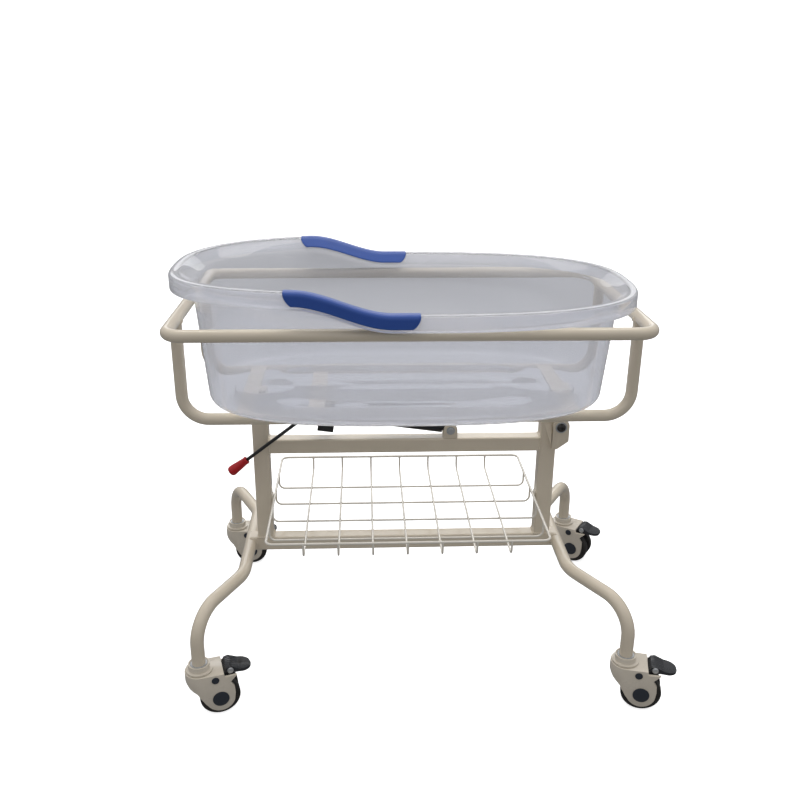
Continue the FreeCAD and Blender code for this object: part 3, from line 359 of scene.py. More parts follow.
# ---------------------------------------------------------------- castor stems
# Steel stems of 12 mm, zinc plated, pressed into black plugs in the ends of the leg tubes.
# They turn in the collars of the castors.
zinc, tree, place = new_finish("zinc_plated_steel")
# Bright zinc with a faint crystalline mottle that spreads the highlight.
spangle = add(tree, "ShaderNodeTexVoronoi", {"Vector": place, "Scale": 1 / (1.2 * MM)})
tint = add(tree, "ShaderNodeMix", {
    0: spangle.outputs["Distance"], 6: linear("#CFD1D2"), 7: linear("#A9ACAE")}, data_type="RGBA")
sheen = add(tree, "ShaderNodeMapRange", {
    "Value": spangle.outputs["Distance"], "To Min": 0.22, "To Max": 0.4})
shader = add(tree, "ShaderNodeBsdfPrincipled", {
    "Base Color": tint.outputs[2], "Metallic": 0.6, "Roughness": sheen.outputs[0]})
show(tree, shader)
plug_black, tree, place = new_finish("black_polyethylene")
# Soft waxy black of a moulded plug, with a slightly uneven skin.
skin = add(tree, "ShaderNodeTexNoise", {"Vector": place, "Scale": 1 / (4 * MM), "Detail": 3.0})
skin_bump = add(tree, "ShaderNodeBump", {
    "Height": skin.outputs[0], "Strength": 0.15, "Distance": 0.2 * MM})
tint = add(tree, "ShaderNodeMix", {0: skin.outputs[0], 6: linear("#232425"), 7: linear("#303132")},
           data_type="RGBA")
shader = add(tree, "ShaderNodeBsdfPrincipled", {
    "Base Color": tint.outputs[2], "Roughness": 0.5, "IOR": 1.5, "Normal": skin_bump.outputs[0]})
show(tree, shader)
nodes["caster_stems"].material_slots[0].material = zinc
nodes["stem_sockets"].material_slots[0].material = plug_black

# ---------------------------------------------------------------- castor hoods
# Moulded cream nylon: two side plates under a round back, with the stepped collar of the
# swivel bearing on top.  Edges have the small radii of a moulding.
CASTORS = (("fl", -392, -STEM_Y, 16), ("fr", 408, -STEM_Y, -14), ("bl", -392, STEM_Y, -1),
           ("br", 408, STEM_Y, -33))
SHARP_ABOVE = 28
nylon, tree, place = new_finish("moulded_cream_nylon")
# Even cream with a soft gloss, faint flow marks and a very fine moulded grain.
flow = add(tree, "ShaderNodeTexNoise", {
    "Vector": place, "Scale": 1 / (25 * MM), "Detail": 3.0, "Distortion": 0.6})
grain = add(tree, "ShaderNodeTexNoise", {"Vector": place, "Scale": 1 / (1.2 * MM), "Detail": 1.0})
grain_bump = add(tree, "ShaderNodeBump", {
    "Height": grain.outputs[0], "Strength": 0.08, "Distance": 0.1 * MM})
tint = add(tree, "ShaderNodeMix", {0: flow.outputs[0], 6: linear("#E3DACA"), 7: linear("#D8CEBC")},
           data_type="RGBA")
sheen = add(tree, "ShaderNodeMapRange", {"Value": flow.outputs[0], "To Min": 0.22, "To Max": 0.36})
shader = add(tree, "ShaderNodeBsdfPrincipled", {
    "Base Color": tint.outputs[2], "Roughness": sheen.outputs[0], "IOR": 1.53,
    "Normal": grain_bump.outputs[0], "Coat Weight": 0.8, "Coat Roughness": 0.05})
show(tree, shader)


def softened(name, node, body, material, width, smooth_below=35, shaped=None):
    """A CAD solid with its sharp edges rounded over, in place of the node."""
    bm = bmesh.new()
    bm.from_mesh(nodes[node].data)
    bmesh.ops.remove_doubles(bm, verts=bm.verts, dist=1e-6)
    bmesh.ops.dissolve_limit(bm, angle_limit=math.radians(0.6), verts=bm.verts, edges=bm.edges)
    edges = [e for e in bm.edges if e.is_manifold and e.calc_face_angle(0) > math.radians(SHARP_ABOVE)]
    bmesh.ops.bevel(bm, geom=edges, offset=width * MM, offset_type="OFFSET", segments=2, profile=0.5,
                    affect="EDGES", clamp_overlap=True)
    if shaped is not None:
        for vert in bm.verts:
            vert.co += shaped(vert.co)
    return finish_mesh(name, closed_mesh(name, bm), body, material, [node], smooth_below)


# The side plates draw in towards the axle below the deck, most on the side of the stem, so
# that the tyres stand out round them.
TRAIL = 33
AXLE_HEIGHT = 37.5
DRAWN_IN = 3.6
STILL_REACH = 24
STILL_ABOVE = 22
FADE_DOWN = 24
FADE_OUT = 8


def drawn_in(x, y, heading):
    """How far a point of one castor's side plates moves towards its axle."""
    forward = Vector((math.cos(math.radians(heading)), math.sin(math.radians(heading)), 0))
    axle = (Vector((x, y, AXLE_HEIGHT)) + SHIFT + forward * TRAIL) * MM

    def moved(spot):
        along = (spot - axle).dot(forward) / MM
        above = (spot.z - axle.z) / MM
        reach = math.hypot(along, above)
        if reach < STILL_REACH or above > STILL_ABOVE:
            return Vector((0, 0, 0))
        low = min(1, (STILL_ABOVE - above) / FADE_DOWN)
        near_stem = min(1, max(0, 0.35 - 1.1 * along / reach))
        pull = DRAWN_IN * low * (0.4 + 0.6 * near_stem) * min(1, (reach - STILL_REACH) / FADE_OUT) * MM
        return -(forward * along + Vector((0, 0, above))) * (pull / reach)

    return moved


for tag, x, y, heading in CASTORS:
    softened(f"hood_{tag}", f"caster_{tag}_housing", f"caster_{tag}", nylon, 1.1,
             shaped=drawn_in(x, y, heading))

# ---------------------------------------------------------------- castor wheels
# Twin tyres of black rubber on grey plastic hubs, two to a castor on one plain axle.
# Each tyre has a rounded shoulder and a fine moulding seam round its tread.
tyre_rubber, tree, place = new_finish("moulded_black_rubber")
# Matt black, dusty grey where it has rolled, with a fine pebbled grain.
dust = add(tree, "ShaderNodeTexNoise", {
    "Vector": place, "Scale": 1 / (9 * MM), "Detail": 4.0, "Roughness": 0.65})
grain = add(tree, "ShaderNodeTexNoise", {"Vector": place, "Scale": 1 / (1.0 * MM), "Detail": 2.0})
grain_bump = add(tree, "ShaderNodeBump", {
    "Height": grain.outputs[0], "Strength": 0.25, "Distance": 0.15 * MM})
dusty = add(tree, "ShaderNodeMapRange", {"Value": dust.outputs[0], "From Min": 0.4, "From Max": 0.75})
tint = add(tree, "ShaderNodeMix", {0: dusty.outputs[0], 6: linear("#1B1A19"), 7: linear("#3A3733")},
           data_type="RGBA")
sheen = add(tree, "ShaderNodeMapRange", {"Value": dust.outputs[0], "To Min": 0.5, "To Max": 0.8})
shader = add(tree, "ShaderNodeBsdfPrincipled", {
    "Base Color": tint.outputs[2], "Roughness": sheen.outputs[0], "IOR": 1.5,
    "Normal": grain_bump.outputs[0]})
show(tree, shader)
hub_grey, tree, place = new_finish("grey_polypropylene")
# Flat mid grey of a structural moulding, with slow changes of shade from the flow.
flow = add(tree, "ShaderNodeTexNoise", {"Vector": place, "Scale": 1 / (18 * MM), "Detail": 2.0})
tint = add(tree, "ShaderNodeMix", {0: flow.outputs[0], 6: linear("#5B5B5A"), 7: linear("#474747")},
           data_type="RGBA")
shader = add(tree, "ShaderNodeBsdfPrincipled", {
    "Base Color": tint.outputs[2], "Roughness": 0.45, "IOR": 1.49})
show(tree, shader)


def lathe(name, profile, base, axis, sides=32, bored=False):
    """A turned solid: its profile gives (radius, distance along the axis) from a base point.
    Six sides make a hexagon; a bored one is a ring whose profile closes on itself."""
    axis = Vector(axis).normalized()
    across = axis.orthogonal().normalized()
    other = axis.cross(across)
    bm = bmesh.new()
    rings = []
    for radius, along in profile:
        centre = Vector(base) + axis * along
        if radius < 1e-6:
            rings.append([bm.verts.new(centre * MM)] * sides)
            continue
        rings.append([bm.verts.new((centre + radius * (across * math.cos(2 * math.pi * i / sides)
                                                       + other * math.sin(2 * math.pi * i / sides))) * MM)
                      for i in range(sides)])
    for near, far in zip(rings, rings[1:] + (rings[:1] if bored else [])):
        for i in range(sides):
            j = (i + 1) % sides
            corners = dict.fromkeys((near[i], near[j], far[j], far[i]))
            bm.faces.new(list(corners))
    for ring in () if bored else (rings[0], rings[-1]):
        if ring[0] is not ring[1]:
            bm.faces.new(ring)
    return closed_mesh(name, bm)


# Zinc washers round the feet of the leg tubes, in the dished tops of the castors' collars.
washers = [lathe("washer", [(12.55, 103.8), (15.8, 103.8), (15.8, 104.6), (15.4, 105), (12.55, 105)],
                 Vector((x, y, 0)) + SHIFT, (0, 0, 1), bored=True) for tag, x, y, heading in CASTORS]
finish_mesh("stem_washers", joined_meshes("stem_washers", washers), "base", zinc)


def in_castor(x, y, heading, local):
    """A point and two directions of a castor that is turned by its heading."""
    turn = math.radians(heading)
    forward = Vector((math.cos(turn), math.sin(turn), 0))
    sideways = Vector((-math.sin(turn), math.cos(turn), 0))
    place = Vector((x, y, 0)) + forward * local[0] + sideways * local[1] + Vector((0, 0, local[2])) + SHIFT
    return place, forward, sideways


# One tyre in section: bead, tread with a fine seam in its middle, rounded outer shoulder.
TYRE = [(28, 8), (36.6, 8), (37.3, 8.3), (37.5, 9), (37.5, 13.1), (37.2, 13.4), (37.5, 13.7), (37.5, 18.9)]
SHOULDER = [math.radians(t) for t in range(10, 91, 10)]
TYRE += [(34 + 3.5 * math.cos(t), 18.9 + 3.5 * math.sin(t)) for t in SHOULDER]
TYRE += [(30.2, 22.4), (29.8, 21.9), (28, 21.9)]
for tag, x, y, heading in CASTORS:
    axle, forward, sideways = in_castor(x, y, heading, (TRAIL, 0, AXLE_HEIGHT))
    pair = [lathe("tyre", TYRE, axle, sideways * side, 96, bored=True) for side in (-1, 1)]
    finish_mesh(f"tyres_{tag}", joined_meshes(f"tyres_{tag}", pair), f"wheels_{tag}", tyre_rubber,
                [f"caster_{tag}_tyres"])
    nodes[f"caster_{tag}_hubs"].material_slots[0].material = hub_grey

# ---------------------------------------------------------------- castor caps and pins
# Blue-black plastic caps snapped over the ends of the axle and of the pedal's pin, which
# are plain zinc-plated steel.
cap_plastic, tree, place = new_finish("blue_black_nylon")
# Satin, almost black with a blue cast; fine spark-eroded texture from the mould.
spark = add(tree, "ShaderNodeTexNoise", {"Vector": place, "Scale": 1 / (0.9 * MM), "Detail": 2.0})
spark_bump = add(tree, "ShaderNodeBump", {
    "Height": spark.outputs[0], "Strength": 0.2, "Distance": 0.1 * MM})
tint = add(tree, "ShaderNodeMix", {0: spark.outputs[0], 6: linear("#232932"), 7: linear("#2C333D")},
           data_type="RGBA")
shader = add(tree, "ShaderNodeBsdfPrincipled", {
    "Base Color": tint.outputs[2], "Roughness": 0.38, "IOR": 1.53, "Normal": spark_bump.outputs[0]})
show(tree, shader)
for tag, x, y, heading in CASTORS:
    softened(f"caps_{tag}", f"caster_{tag}_caps", f"caster_{tag}", cap_plastic, 0.6, 50)
    nodes[f"caster_{tag}_pins"].material_slots[0].material = zinc

# ---------------------------------------------------------------- brake pedals
# Glass-filled black nylon: a ribbed saddle over the wheels and a flat toe pad with a round
# end.  A short bright roller at each side of the saddle rides on the brake spring.
SADDLE = ((44.4, 90.2), (48, 94.5), (54.5, 95.5), (61.9, 93), (70, 89.5))
RIB_PITCH = 5.4
ROLLER = ((5.6, 0), (5.6, 2.6), (4.9, 3.4), (2.6, 3.4), (2.2, 2.8), (0, 2.8))
pedal_black, tree, place = new_finish("glass_filled_black_nylon")
# Dark charcoal with a dry, slightly patchy gloss from the glass fibre near the skin.
fibre = add(tree, "ShaderNodeTexNoise", {
    "Vector": place, "Scale": 1 / (3 * MM), "Detail": 4.0, "Distortion": 1.2})
fibre_bump = add(tree, "ShaderNodeBump", {
    "Height": fibre.outputs[0], "Strength": 0.18, "Distance": 0.15 * MM})
tint = add(tree, "ShaderNodeMix", {0: fibre.outputs[0], 6: linear("#1D1F22"), 7: linear("#303338")},
           data_type="RGBA")
sheen = add(tree, "ShaderNodeMapRange", {"Value": fibre.outputs[0], "To Min": 0.14, "To Max": 0.3})
shader = add(tree, "ShaderNodeBsdfPrincipled", {
    "Base Color": tint.outputs[2], "Roughness": sheen.outputs[0], "IOR": 1.53,
    "Normal": fibre_bump.outputs[0]})
show(tree, shader)

for tag, x, y, heading in CASTORS:
    softened(f"pedal_{tag}", f"caster_{tag}_pedal", f"pedal_{tag}", pedal_black, 1.0)
    first_rib = [in_castor(x, y, heading, (u, -2.5 * RIB_PITCH, v))[0] - SHIFT for u, v in SADDLE]
    sideways = in_castor(x, y, heading, (0, 0, 0))[2]
    bent_tube(f"pedal_ribs_{tag}", [(*p, 4) for p in first_rib], 1.2, f"pedal_{tag}", [],
              sides=10, material=pedal_black, count=6, step=tuple(sideways * RIB_PITCH))
    rollers = []
    for side in (-1, 1):
        hub, forward, sideways = in_castor(x, y, heading, (54.5, side * 18.6, 89.6))
        rollers.append(lathe("roller", ROLLER, hub, sideways * side))
    finish_mesh(f"pedal_rollers_{tag}", joined_meshes(f"pedal_rollers_{tag}", rollers), f"pedal_{tag}",
                zinc)

# ---------------------------------------------------------------- wire basket
# Shallow tray of drawn steel wire: a 5 mm rim, seven cross wires and four long wires of
# 4 mm, spot welded where they cross, dipped in cream enamel and hung from two tabs.
wire_enamel, tree, place = new_finish("dipped_cream_enamel")
# Paler and glossier than the frame: a thick wet-looking dip that runs thin in long waves.
runs = add(tree, "ShaderNodeTexNoise", {"Vector": place, "Scale": 1 / (30 * MM), "Detail": 2.0})
tint = add(tree, "ShaderNodeMix", {0: runs.outputs[0], 6: linear("#F6F2E8"), 7: linear("#ECE5D6")},
           data_type="RGBA")
sheen = add(tree, "ShaderNodeMapRange", {"Value": runs.outputs[0], "To Min": 0.16, "To Max": 0.28})
shader = add(tree, "ShaderNodeBsdfPrincipled", {
    "Base Color": tint.outputs[2], "Roughness": sheen.outputs[0], "IOR": 1.5, "Coat Weight": 0.8,
    "Coat Roughness": 0.05})
show(tree, shader)
TRAY_X = 268
TRAY_Y = 194
CROSS_WIRES = 7
CROSS_START = -197.9
CROSS_PITCH = 65.3
LONG_WIRES = 4
LONG_START = -120
LONG_PITCH = 75
HOOKED = 304.5
rim = [(x * TRAY_X, y * TRAY_Y, 307, 14) for x, y in ((-1, -1), (1, -1), (1, 1), (-1, 1))]
bent_tube("basket_rim_wire", rim, 2.5, "base", ["basket_rim"], closed=True, sides=12,
          material=wire_enamel)
cross_wire = [(CROSS_START, -TRAY_Y, HOOKED), (CROSS_START, -TRAY_Y, 278, 12),
              (CROSS_START, TRAY_Y, 278, 12), (CROSS_START, TRAY_Y, HOOKED)]
bent_tube("cross_wire_row", cross_wire, 2, "base", ["basket_cross_wires"], sides=10,
          material=wire_enamel, count=CROSS_WIRES, step=(CROSS_PITCH, 0, 0))
long_wire = [(-TRAY_X, LONG_START, HOOKED), (-TRAY_X, LONG_START, 274, 12),
             (TRAY_X, LONG_START, 274, 12), (TRAY_X, LONG_START, HOOKED)]
bent_tube("long_wire_row", long_wire, 2, "base", ["basket_long_wires"], sides=10,
          material=wire_enamel, count=LONG_WIRES, step=(0, LONG_PITCH, 0))


# Resistance welds: a small flattened nub wherever two wires touch.
spot_welds, given = new_tree("spot_welds", nub=("Float", 0.002), finish=("Material", None))
nub = add(spot_welds, "GeometryNodeMeshUVSphere", {
    "Segments": 10, "Rings": 6, "Radius": given.outputs["nub"]})
nubs = add(spot_welds, "GeometryNodeInstanceOnPoints", {
    "Points": given.outputs[0], "Instance": nub.outputs[0], "Scale": (1.0, 1.0, 0.75)})
end_tree(spot_welds, nubs, given)
AT_RIM = 304.6
crossings = []
long_rows = [LONG_START + LONG_PITCH * j for j in range(LONG_WIRES)]
for i in range(CROSS_WIRES):
    x = CROSS_START + CROSS_PITCH * i
    crossings += [(x, y, 276) for y in long_rows] + [(x, -TRAY_Y, AT_RIM), (x, TRAY_Y, AT_RIM)]
crossings += [(x, y, AT_RIM) for x in (-TRAY_X, TRAY_X) for y in long_rows]
made = grown("wire_welds", spot_welds, path_mesh("wire_welds", crossings), nub=2.7 * MM, finish=wire_enamel)
finish_mesh("wire_welds", made, "base", smooth_below=60)

# ---------------------------------------------------------------- plates and brackets
# Laser-cut and folded steel plate: strips across the hangers, pivot and spring brackets,
# ears, gussets and lugs.  Edges are deburred.  All are powder coated with the frame, except
# the basket's tabs, which are dipped with the basket.
for node, body in (("cross_strips", "cradle"), ("pivot_bracket", "cradle"), ("rest_bracket", "cradle"),
                   ("spring_bracket", "cradle"), ("pivot_ears", "base"), ("post_gussets", "base"),
                   ("spring_lugs", "base"), ("basket_tabs", "base")):
    slot, coat = ("wire_coat", wire_enamel) if node == "basket_tabs" else ("frame_coat", cream_coat)
    softened("plate_" + node, node, body, coat, 0.6)

# ---------------------------------------------------------------- rest buffer
# A turned block of black rubber on the head post; the cradle's rest bracket sits on it.
softened("rest_block", "rest_buffer", "base", tyre_rubber, 1.2)

# ---------------------------------------------------------------- pivot bolt
# One long bolt through the ears of the foot post: a domed head of blackened steel on a
# bright washer in front, a hexagon nut behind, and brass bushes inside the cradle's bracket.
PIVOT = Vector((312, 0, 466)) + SHIFT
DOME = ((8.9, 0.1), (8.9, 0.8), (8.4, 2.2), (7.4, 3.4), (5.8, 4.4), (3.9, 5), (3.4, 4.8), (3.3, 2.6),
        (0, 2.4))
black_steel, tree, place = new_finish("blackened_steel")
# Oil-blackened, with a dull metallic glint and browner, drier patches.
film = add(tree, "ShaderNodeTexNoise", {"Vector": place, "Scale": 1 / (3.5 * MM), "Detail": 4.0})
tint = add(tree, "ShaderNodeMix", {0: film.outputs[0], 6: linear("#3B3C3D"), 7: linear("#55534F")},
           data_type="RGBA")
sheen = add(tree, "ShaderNodeMapRange", {"Value": film.outputs[0], "To Min": 0.2, "To Max": 0.38})
shader = add(tree, "ShaderNodeBsdfPrincipled", {
    "Base Color": tint.outputs[2], "Metallic": 0.85, "Roughness": sheen.outputs[0]})
show(tree, shader)
bush_brass, tree, place = new_finish("turned_brass")
# Dull yellow with fine turning rings.
rings = add(tree, "ShaderNodeTexWave", {"Vector": place, "Scale": 1 / (6 * MM), "Distortion": 0.4},
            bands_direction="Y")
ring_bump = add(tree, "ShaderNodeBump", {
    "Height": rings.outputs[1], "Strength": 0.1, "Distance": 0.05 * MM})
shader = add(tree, "ShaderNodeBsdfPrincipled", {
    "Base Color": linear("#B8935A"), "Metallic": 1.0, "Roughness": 0.3, "Normal": ring_bump.outputs[0]})
show(tree, shader)
bolt = [lathe("dome", DOME, PIVOT + Vector((0, -26.4, 0)), (0, -1, 0)),
        lathe("shank", [(5, -26.4), (5, 31.7), (4.4, 32.4)], PIVOT, (0, 1, 0)),
        lathe("nut", [(9.4, 25.1), (9.4, 30.4), (8.6, 31.2)], PIVOT, (0, 1, 0), sides=6)]
finish_mesh("pivot_bolt_and_nut", joined_meshes("pivot_bolt_and_nut", bolt), "base",
            black_steel, ["pivot_bolt"])
washer = lathe("washer", [(5, 25.05), (11.3, 25.05), (11.6, 25.3), (11.6, 26.2), (11.3, 26.5), (5, 26.5)],
               PIVOT, (0, -1, 0), bored=True)
finish_mesh("pivot_washer", washer, "base", zinc)
nodes["pivot_bushes"].material_slots[0].material = bush_brass

# ---------------------------------------------------------------- gas spring
# Lockable gas spring from the lugs on the upper beam to the bracket under the middle strip:
# black painted cylinder and eye, chromed rod, and a cast release head on the rod's end.
black_paint, tree, place = new_finish("baked_black_paint")
# Semi-gloss black with faint orange peel; reads as black with soft grey highlights.
peel = add(tree, "ShaderNodeTexNoise", {"Vector": place, "Scale": 1 / (1.6 * MM), "Detail": 1.0})
peel_bump = add(tree, "ShaderNodeBump", {"Height": peel.outputs[0], "Strength": 0.1, "Distance": 0.1 * MM})
patches = add(tree, "ShaderNodeTexNoise", {"Vector": place, "Scale": 1 / (15 * MM), "Detail": 3.0})
tint = add(tree, "ShaderNodeMix", {0: patches.outputs[0], 6: linear("#17181A"), 7: linear("#222427")},
           data_type="RGBA")
shader = add(tree, "ShaderNodeBsdfPrincipled", {
    "Base Color": tint.outputs[2], "Roughness": 0.28, "IOR": 1.5, "Normal": peel_bump.outputs[0]})
show(tree, shader)
chrome, tree, place = new_finish("hard_chrome")
# Ground and polished rod: a clean mirror with hairline scratches along its length.
scratch = add(tree, "ShaderNodeTexNoise", {"Vector": place, "Scale": 1 / (0.8 * MM), "Detail": 2.0})
sheen = add(tree, "ShaderNodeMapRange", {"Value": scratch.outputs[0], "To Min": 0.05, "To Max": 0.16})
shader = add(tree, "ShaderNodeBsdfPrincipled", {
    "Base Color": linear("#D5D7DA"), "Metallic": 1.0, "Roughness": sheen.outputs[0]})
show(tree, shader)
softened("spring_cylinder", "gas_cylinder", "gas_cylinder", black_paint, 1.0)
softened("spring_eye", "cylinder_eye", "gas_cylinder", black_paint, 0.6)
softened("spring_release_head", "release_head", "gas_rod", black_paint, 2.0)
nodes["piston_rod"].material_slots[0].material = chrome
softened("bracket_pin_pair", "bracket_pins", "cradle", zinc, 0.5)
LUG = Vector((91, 0, 457.5)) + SHIFT
lug_parts = [lathe("lug_head", [(6.6, 16.3), (6.6, 18.9), (5.8, 19.5)], LUG, (0, -1, 0), sides=6),
             lathe("lug_washer", [(4, 15.05), (8.4, 15.05), (8.4, 16.3), (4, 16.3)], LUG, (0, -1, 0),
                   bored=True),
             lathe("lug_shank", [(4, -16), (4, 20.4)], LUG, (0, 1, 0)),
             lathe("lug_nut", [(6.6, 15.05), (6.6, 19.4), (6, 20)], LUG, (0, 1, 0), sides=6)]
finish_mesh("lug_bolt_and_nut", joined_meshes("lug_bolt_and_nut", lug_parts), "base", zinc,
            ["spring_lug_bolt"])

# ---------------------------------------------------------------- release lever
# A bent-over black rod on its own pin beside the spring, ending in a hand grip of dipped
# red vinyl: a plump cone with a bead at its mouth and a rounded end.
LEVER = Vector((-181, -30, 510)) + SHIFT
SLOPE = math.radians(37.8)
GRIP_FROM = 170
red_vinyl, tree, place = new_finish("dipped_red_vinyl")
# Deep satin red with slow runs in its thickness and a few scuffs.
runs = add(tree, "ShaderNodeTexNoise", {"Vector": place, "Scale": 1 / (12 * MM), "Detail": 3.0})
skin = add(tree, "ShaderNodeTexNoise", {"Vector": place, "Scale": 1 / (1.5 * MM), "Detail": 2.0})
skin_bump = add(tree, "ShaderNodeBump", {
    "Height": skin.outputs[0], "Strength": 0.12, "Distance": 0.1 * MM})
tint = add(tree, "ShaderNodeMix", {0: runs.outputs[0], 6: linear("#D2121F"), 7: linear("#AC0C18")},
           data_type="RGBA")
shader = add(tree, "ShaderNodeBsdfPrincipled", {
    "Base Color": tint.outputs[2], "Roughness": 0.32, "IOR": 1.52, "Normal": skin_bump.outputs[0]})
show(tree, shader)
softened("lever_bar", "lever_rod", "release_lever", black_paint, 0.6)
CONE = [(3.55, 0.4), (5.4, 0), (7.4, 0.4), (8.0, 1.4), (8.0, 3.2), (7.3, 4.4), (8.4, 16), (9.6, 28),
        (10.3, 36), (10.4, 38.6), (9.9, 41.2), (8.6, 43.2), (6.2, 44.3), (3, 44.6), (0, 44.6)]
along = Vector((-math.cos(SLOPE), 0, -math.sin(SLOPE)))
hand_grip = lathe("lever_hand_grip", CONE, LEVER + along * GRIP_FROM, along)
finish_mesh("lever_hand_grip", hand_grip, "release_lever", red_vinyl, ["lever_grip"],
            smooth_below=60)

# ---------------------------------------------------------------- tub
# One-piece tub injection moulded in clear polypropylene, 3 mm thick: flat floor with a
# raised platform, two long recesses and round drain marks, and a rolled rim that steps up.
RIM_CENTRE = -4
HALF_LENGTH = 430
WALL_CENTRE = -1
WALL_HALF_LENGTH = 394.5
HALF_WIDTH = 266
RIM_POWER = 2.7
FLOOR_POWER = 2.9
WALL = 3
BASE = 547.3
CREST = 763
STEP_RISE = 36
STEP_START = -34
STEP_END = -194
CREST_DIP = 4
SKIRT = 28.5
EDGE_ROUND = 6
TOP_IN = 19
FLARE_IN = 44
FLARE_DROP = 25
FLOOR_HALF = (376, 221)
FLOOR_ROUND = 19
PLATFORM_HALF = (330, 139)
PLATFORM_RISE = 3
PLATFORM_POWER = 2.6
RECESS_ENDS = (-236, 229)
RECESS_Y = 74
RECESS_RADIUS = 32
RECESS_WALL = ((0.9, 0), (0.5, 0.25), (-0.5, 1.3), (-1.2, 1.6))
DRAINS = ((-235, 0, 0), (-84, 0, 0), (70, 0, 0), (147.5, 0, 0), (225, 0, 0),
          (-100, -92, 1.6), (-9, -92, 1.6), (84, -92, 1.6))
DRAIN_WALL = ((12, 0), (11.4, 0.3), (10.8, 1.0), (10, 1.2))
AROUND = 240
FLOW_LENGTH = 333.3 * MM


def rim_rise(x):
    """How far the rim has risen at x above its level at the foot."""
    t = min(max((STEP_START - x) / (STEP_START - STEP_END), 0), 1)
    past = max(0, STEP_END - x) / (HALF_LENGTH + STEP_END)
    return STEP_RISE * t * t * (3 - 2 * t) - CREST_DIP * past * past


def oval(a, b, power, height, follow=0, centre=WALL_CENTRE):
    """A closed rounded outline that follows the rim's step or stays level."""
    points = []
    for i in range(AROUND):
        turn = 2 * math.pi * i / AROUND
        c = math.cos(turn)
        s = math.sin(turn)
        reach = (abs(c / a) ** power + abs(s / b) ** power) ** (-1 / power)
        x = centre + reach * c
        points.append(Vector((x, reach * s, height + follow * rim_rise(x))))
    return points


def rim_span(inset):
    """Half the rim's length and its centre, moved in; the end walls come in less than the sides."""
    share = inset / FLARE_IN
    half_span = HALF_LENGTH + (WALL_HALF_LENGTH - HALF_LENGTH) * share
    return half_span, RIM_CENTRE + (WALL_CENTRE - RIM_CENTRE) * share


def rim_oval(inset, below):
    """One ring of the rim, moved in from its outer face and down from its crest."""
    half_span, centre = rim_span(inset)
    return oval(half_span, HALF_WIDTH - inset, RIM_POWER, CREST - below, 1, centre)


def quarter_round(radius, steps):
    """(inward, down) from an outer corner, all along its rounding."""
    turns = [math.radians(90 * i / steps) for i in range(steps + 1)]
    return [(radius * (1 - math.cos(t)), radius * (1 - math.sin(t))) for t in turns]


def capsule(x0, x1, y, radius, offset):
    """An outline with round ends, moved out by offset."""
    points = []
    for centre, start in ((x1 - radius, -90), (x0 + radius, 90)):
        for i in range(25):
            turn = math.radians(start + 180 * i / 24)
            points.append((centre + (radius + offset) * math.cos(turn),
                           y + (radius + offset) * math.sin(turn)))
    return points


def disc(x, y, radius):
    """The outline of a round mark."""
    turns = [math.radians(t) for t in range(0, 360, 12)]
    return [(x + radius * math.cos(t), y + radius * math.sin(t)) for t in turns]


tub_rings = []
for inward, down in reversed(quarter_round(FLOOR_ROUND, 8)):
    tub_rings.append(oval(FLOOR_HALF[0] - inward, FLOOR_HALF[1] - inward, FLOOR_POWER, BASE + down))
# Each (inset, drop) below is one ring of the rim: its underside, its lip, its rounded outer
# edge, and its top with the flare that leads into the wall.
underside = [(FLARE_IN, SKIRT + 6), (FLARE_IN - 0.8, FLARE_DROP + 4.4), (FLARE_IN - 2.3, FLARE_DROP + 2),
             (TOP_IN + 1.5, WALL + 0.8), (TOP_IN - 1, WALL)]
inner_edge = quarter_round(EDGE_ROUND - WALL, 5)
underside += [(WALL + inward, WALL + down) for inward, down in reversed(inner_edge)]
lip = [(WALL, SKIRT - 0.8), (WALL - 0.8, SKIRT), (0.8, SKIRT), (0, SKIRT - 0.8)]
outer_edge = quarter_round(EDGE_ROUND, 8)
top = [(TOP_IN - 3, 0), (TOP_IN, 0.7), (TOP_IN + 2.4, 2.4), (FLARE_IN - 1.8, FLARE_DROP - 1.8),
       (FLARE_IN + 0.8, FLARE_DROP + 1.4), (FLARE_IN + 2.4, FLARE_DROP + 5),
       (FLARE_IN + WALL, FLARE_DROP + 10)]
tub_rings += [rim_oval(inset, drop) for inset, drop in underside + lip + outer_edge + top]
for inward, down in quarter_round(FLOOR_ROUND - WALL, 8):
    tub_rings.append(oval(FLOOR_HALF[0] - WALL - inward, FLOOR_HALF[1] - WALL - inward, FLOOR_POWER,
                          BASE + WALL + down))

# The floor inside the last ring: nested outlines, each at its own height.
floor_loops = []
for outward, share in ((4, 0), (3, 0.12), (1, 0.88), (0, 1)):
    level = BASE + WALL + PLATFORM_RISE * share
    points = oval(PLATFORM_HALF[0] + outward, PLATFORM_HALF[1] + outward, PLATFORM_POWER, level)
    floor_loops.append(([(p.x, p.y) for p in points[::2]], level))
platform = BASE + WALL + PLATFORM_RISE
for side in (-1, 1):
    for offset, depth in RECESS_WALL:
        outline = capsule(*RECESS_ENDS, side * RECESS_Y, RECESS_RADIUS, offset)
        floor_loops.append((outline, platform - depth))
for x, y, sunk in DRAINS:
    for radius, depth in DRAIN_WALL:
        floor_loops.append((disc(x, y, radius), platform - sunk - depth))

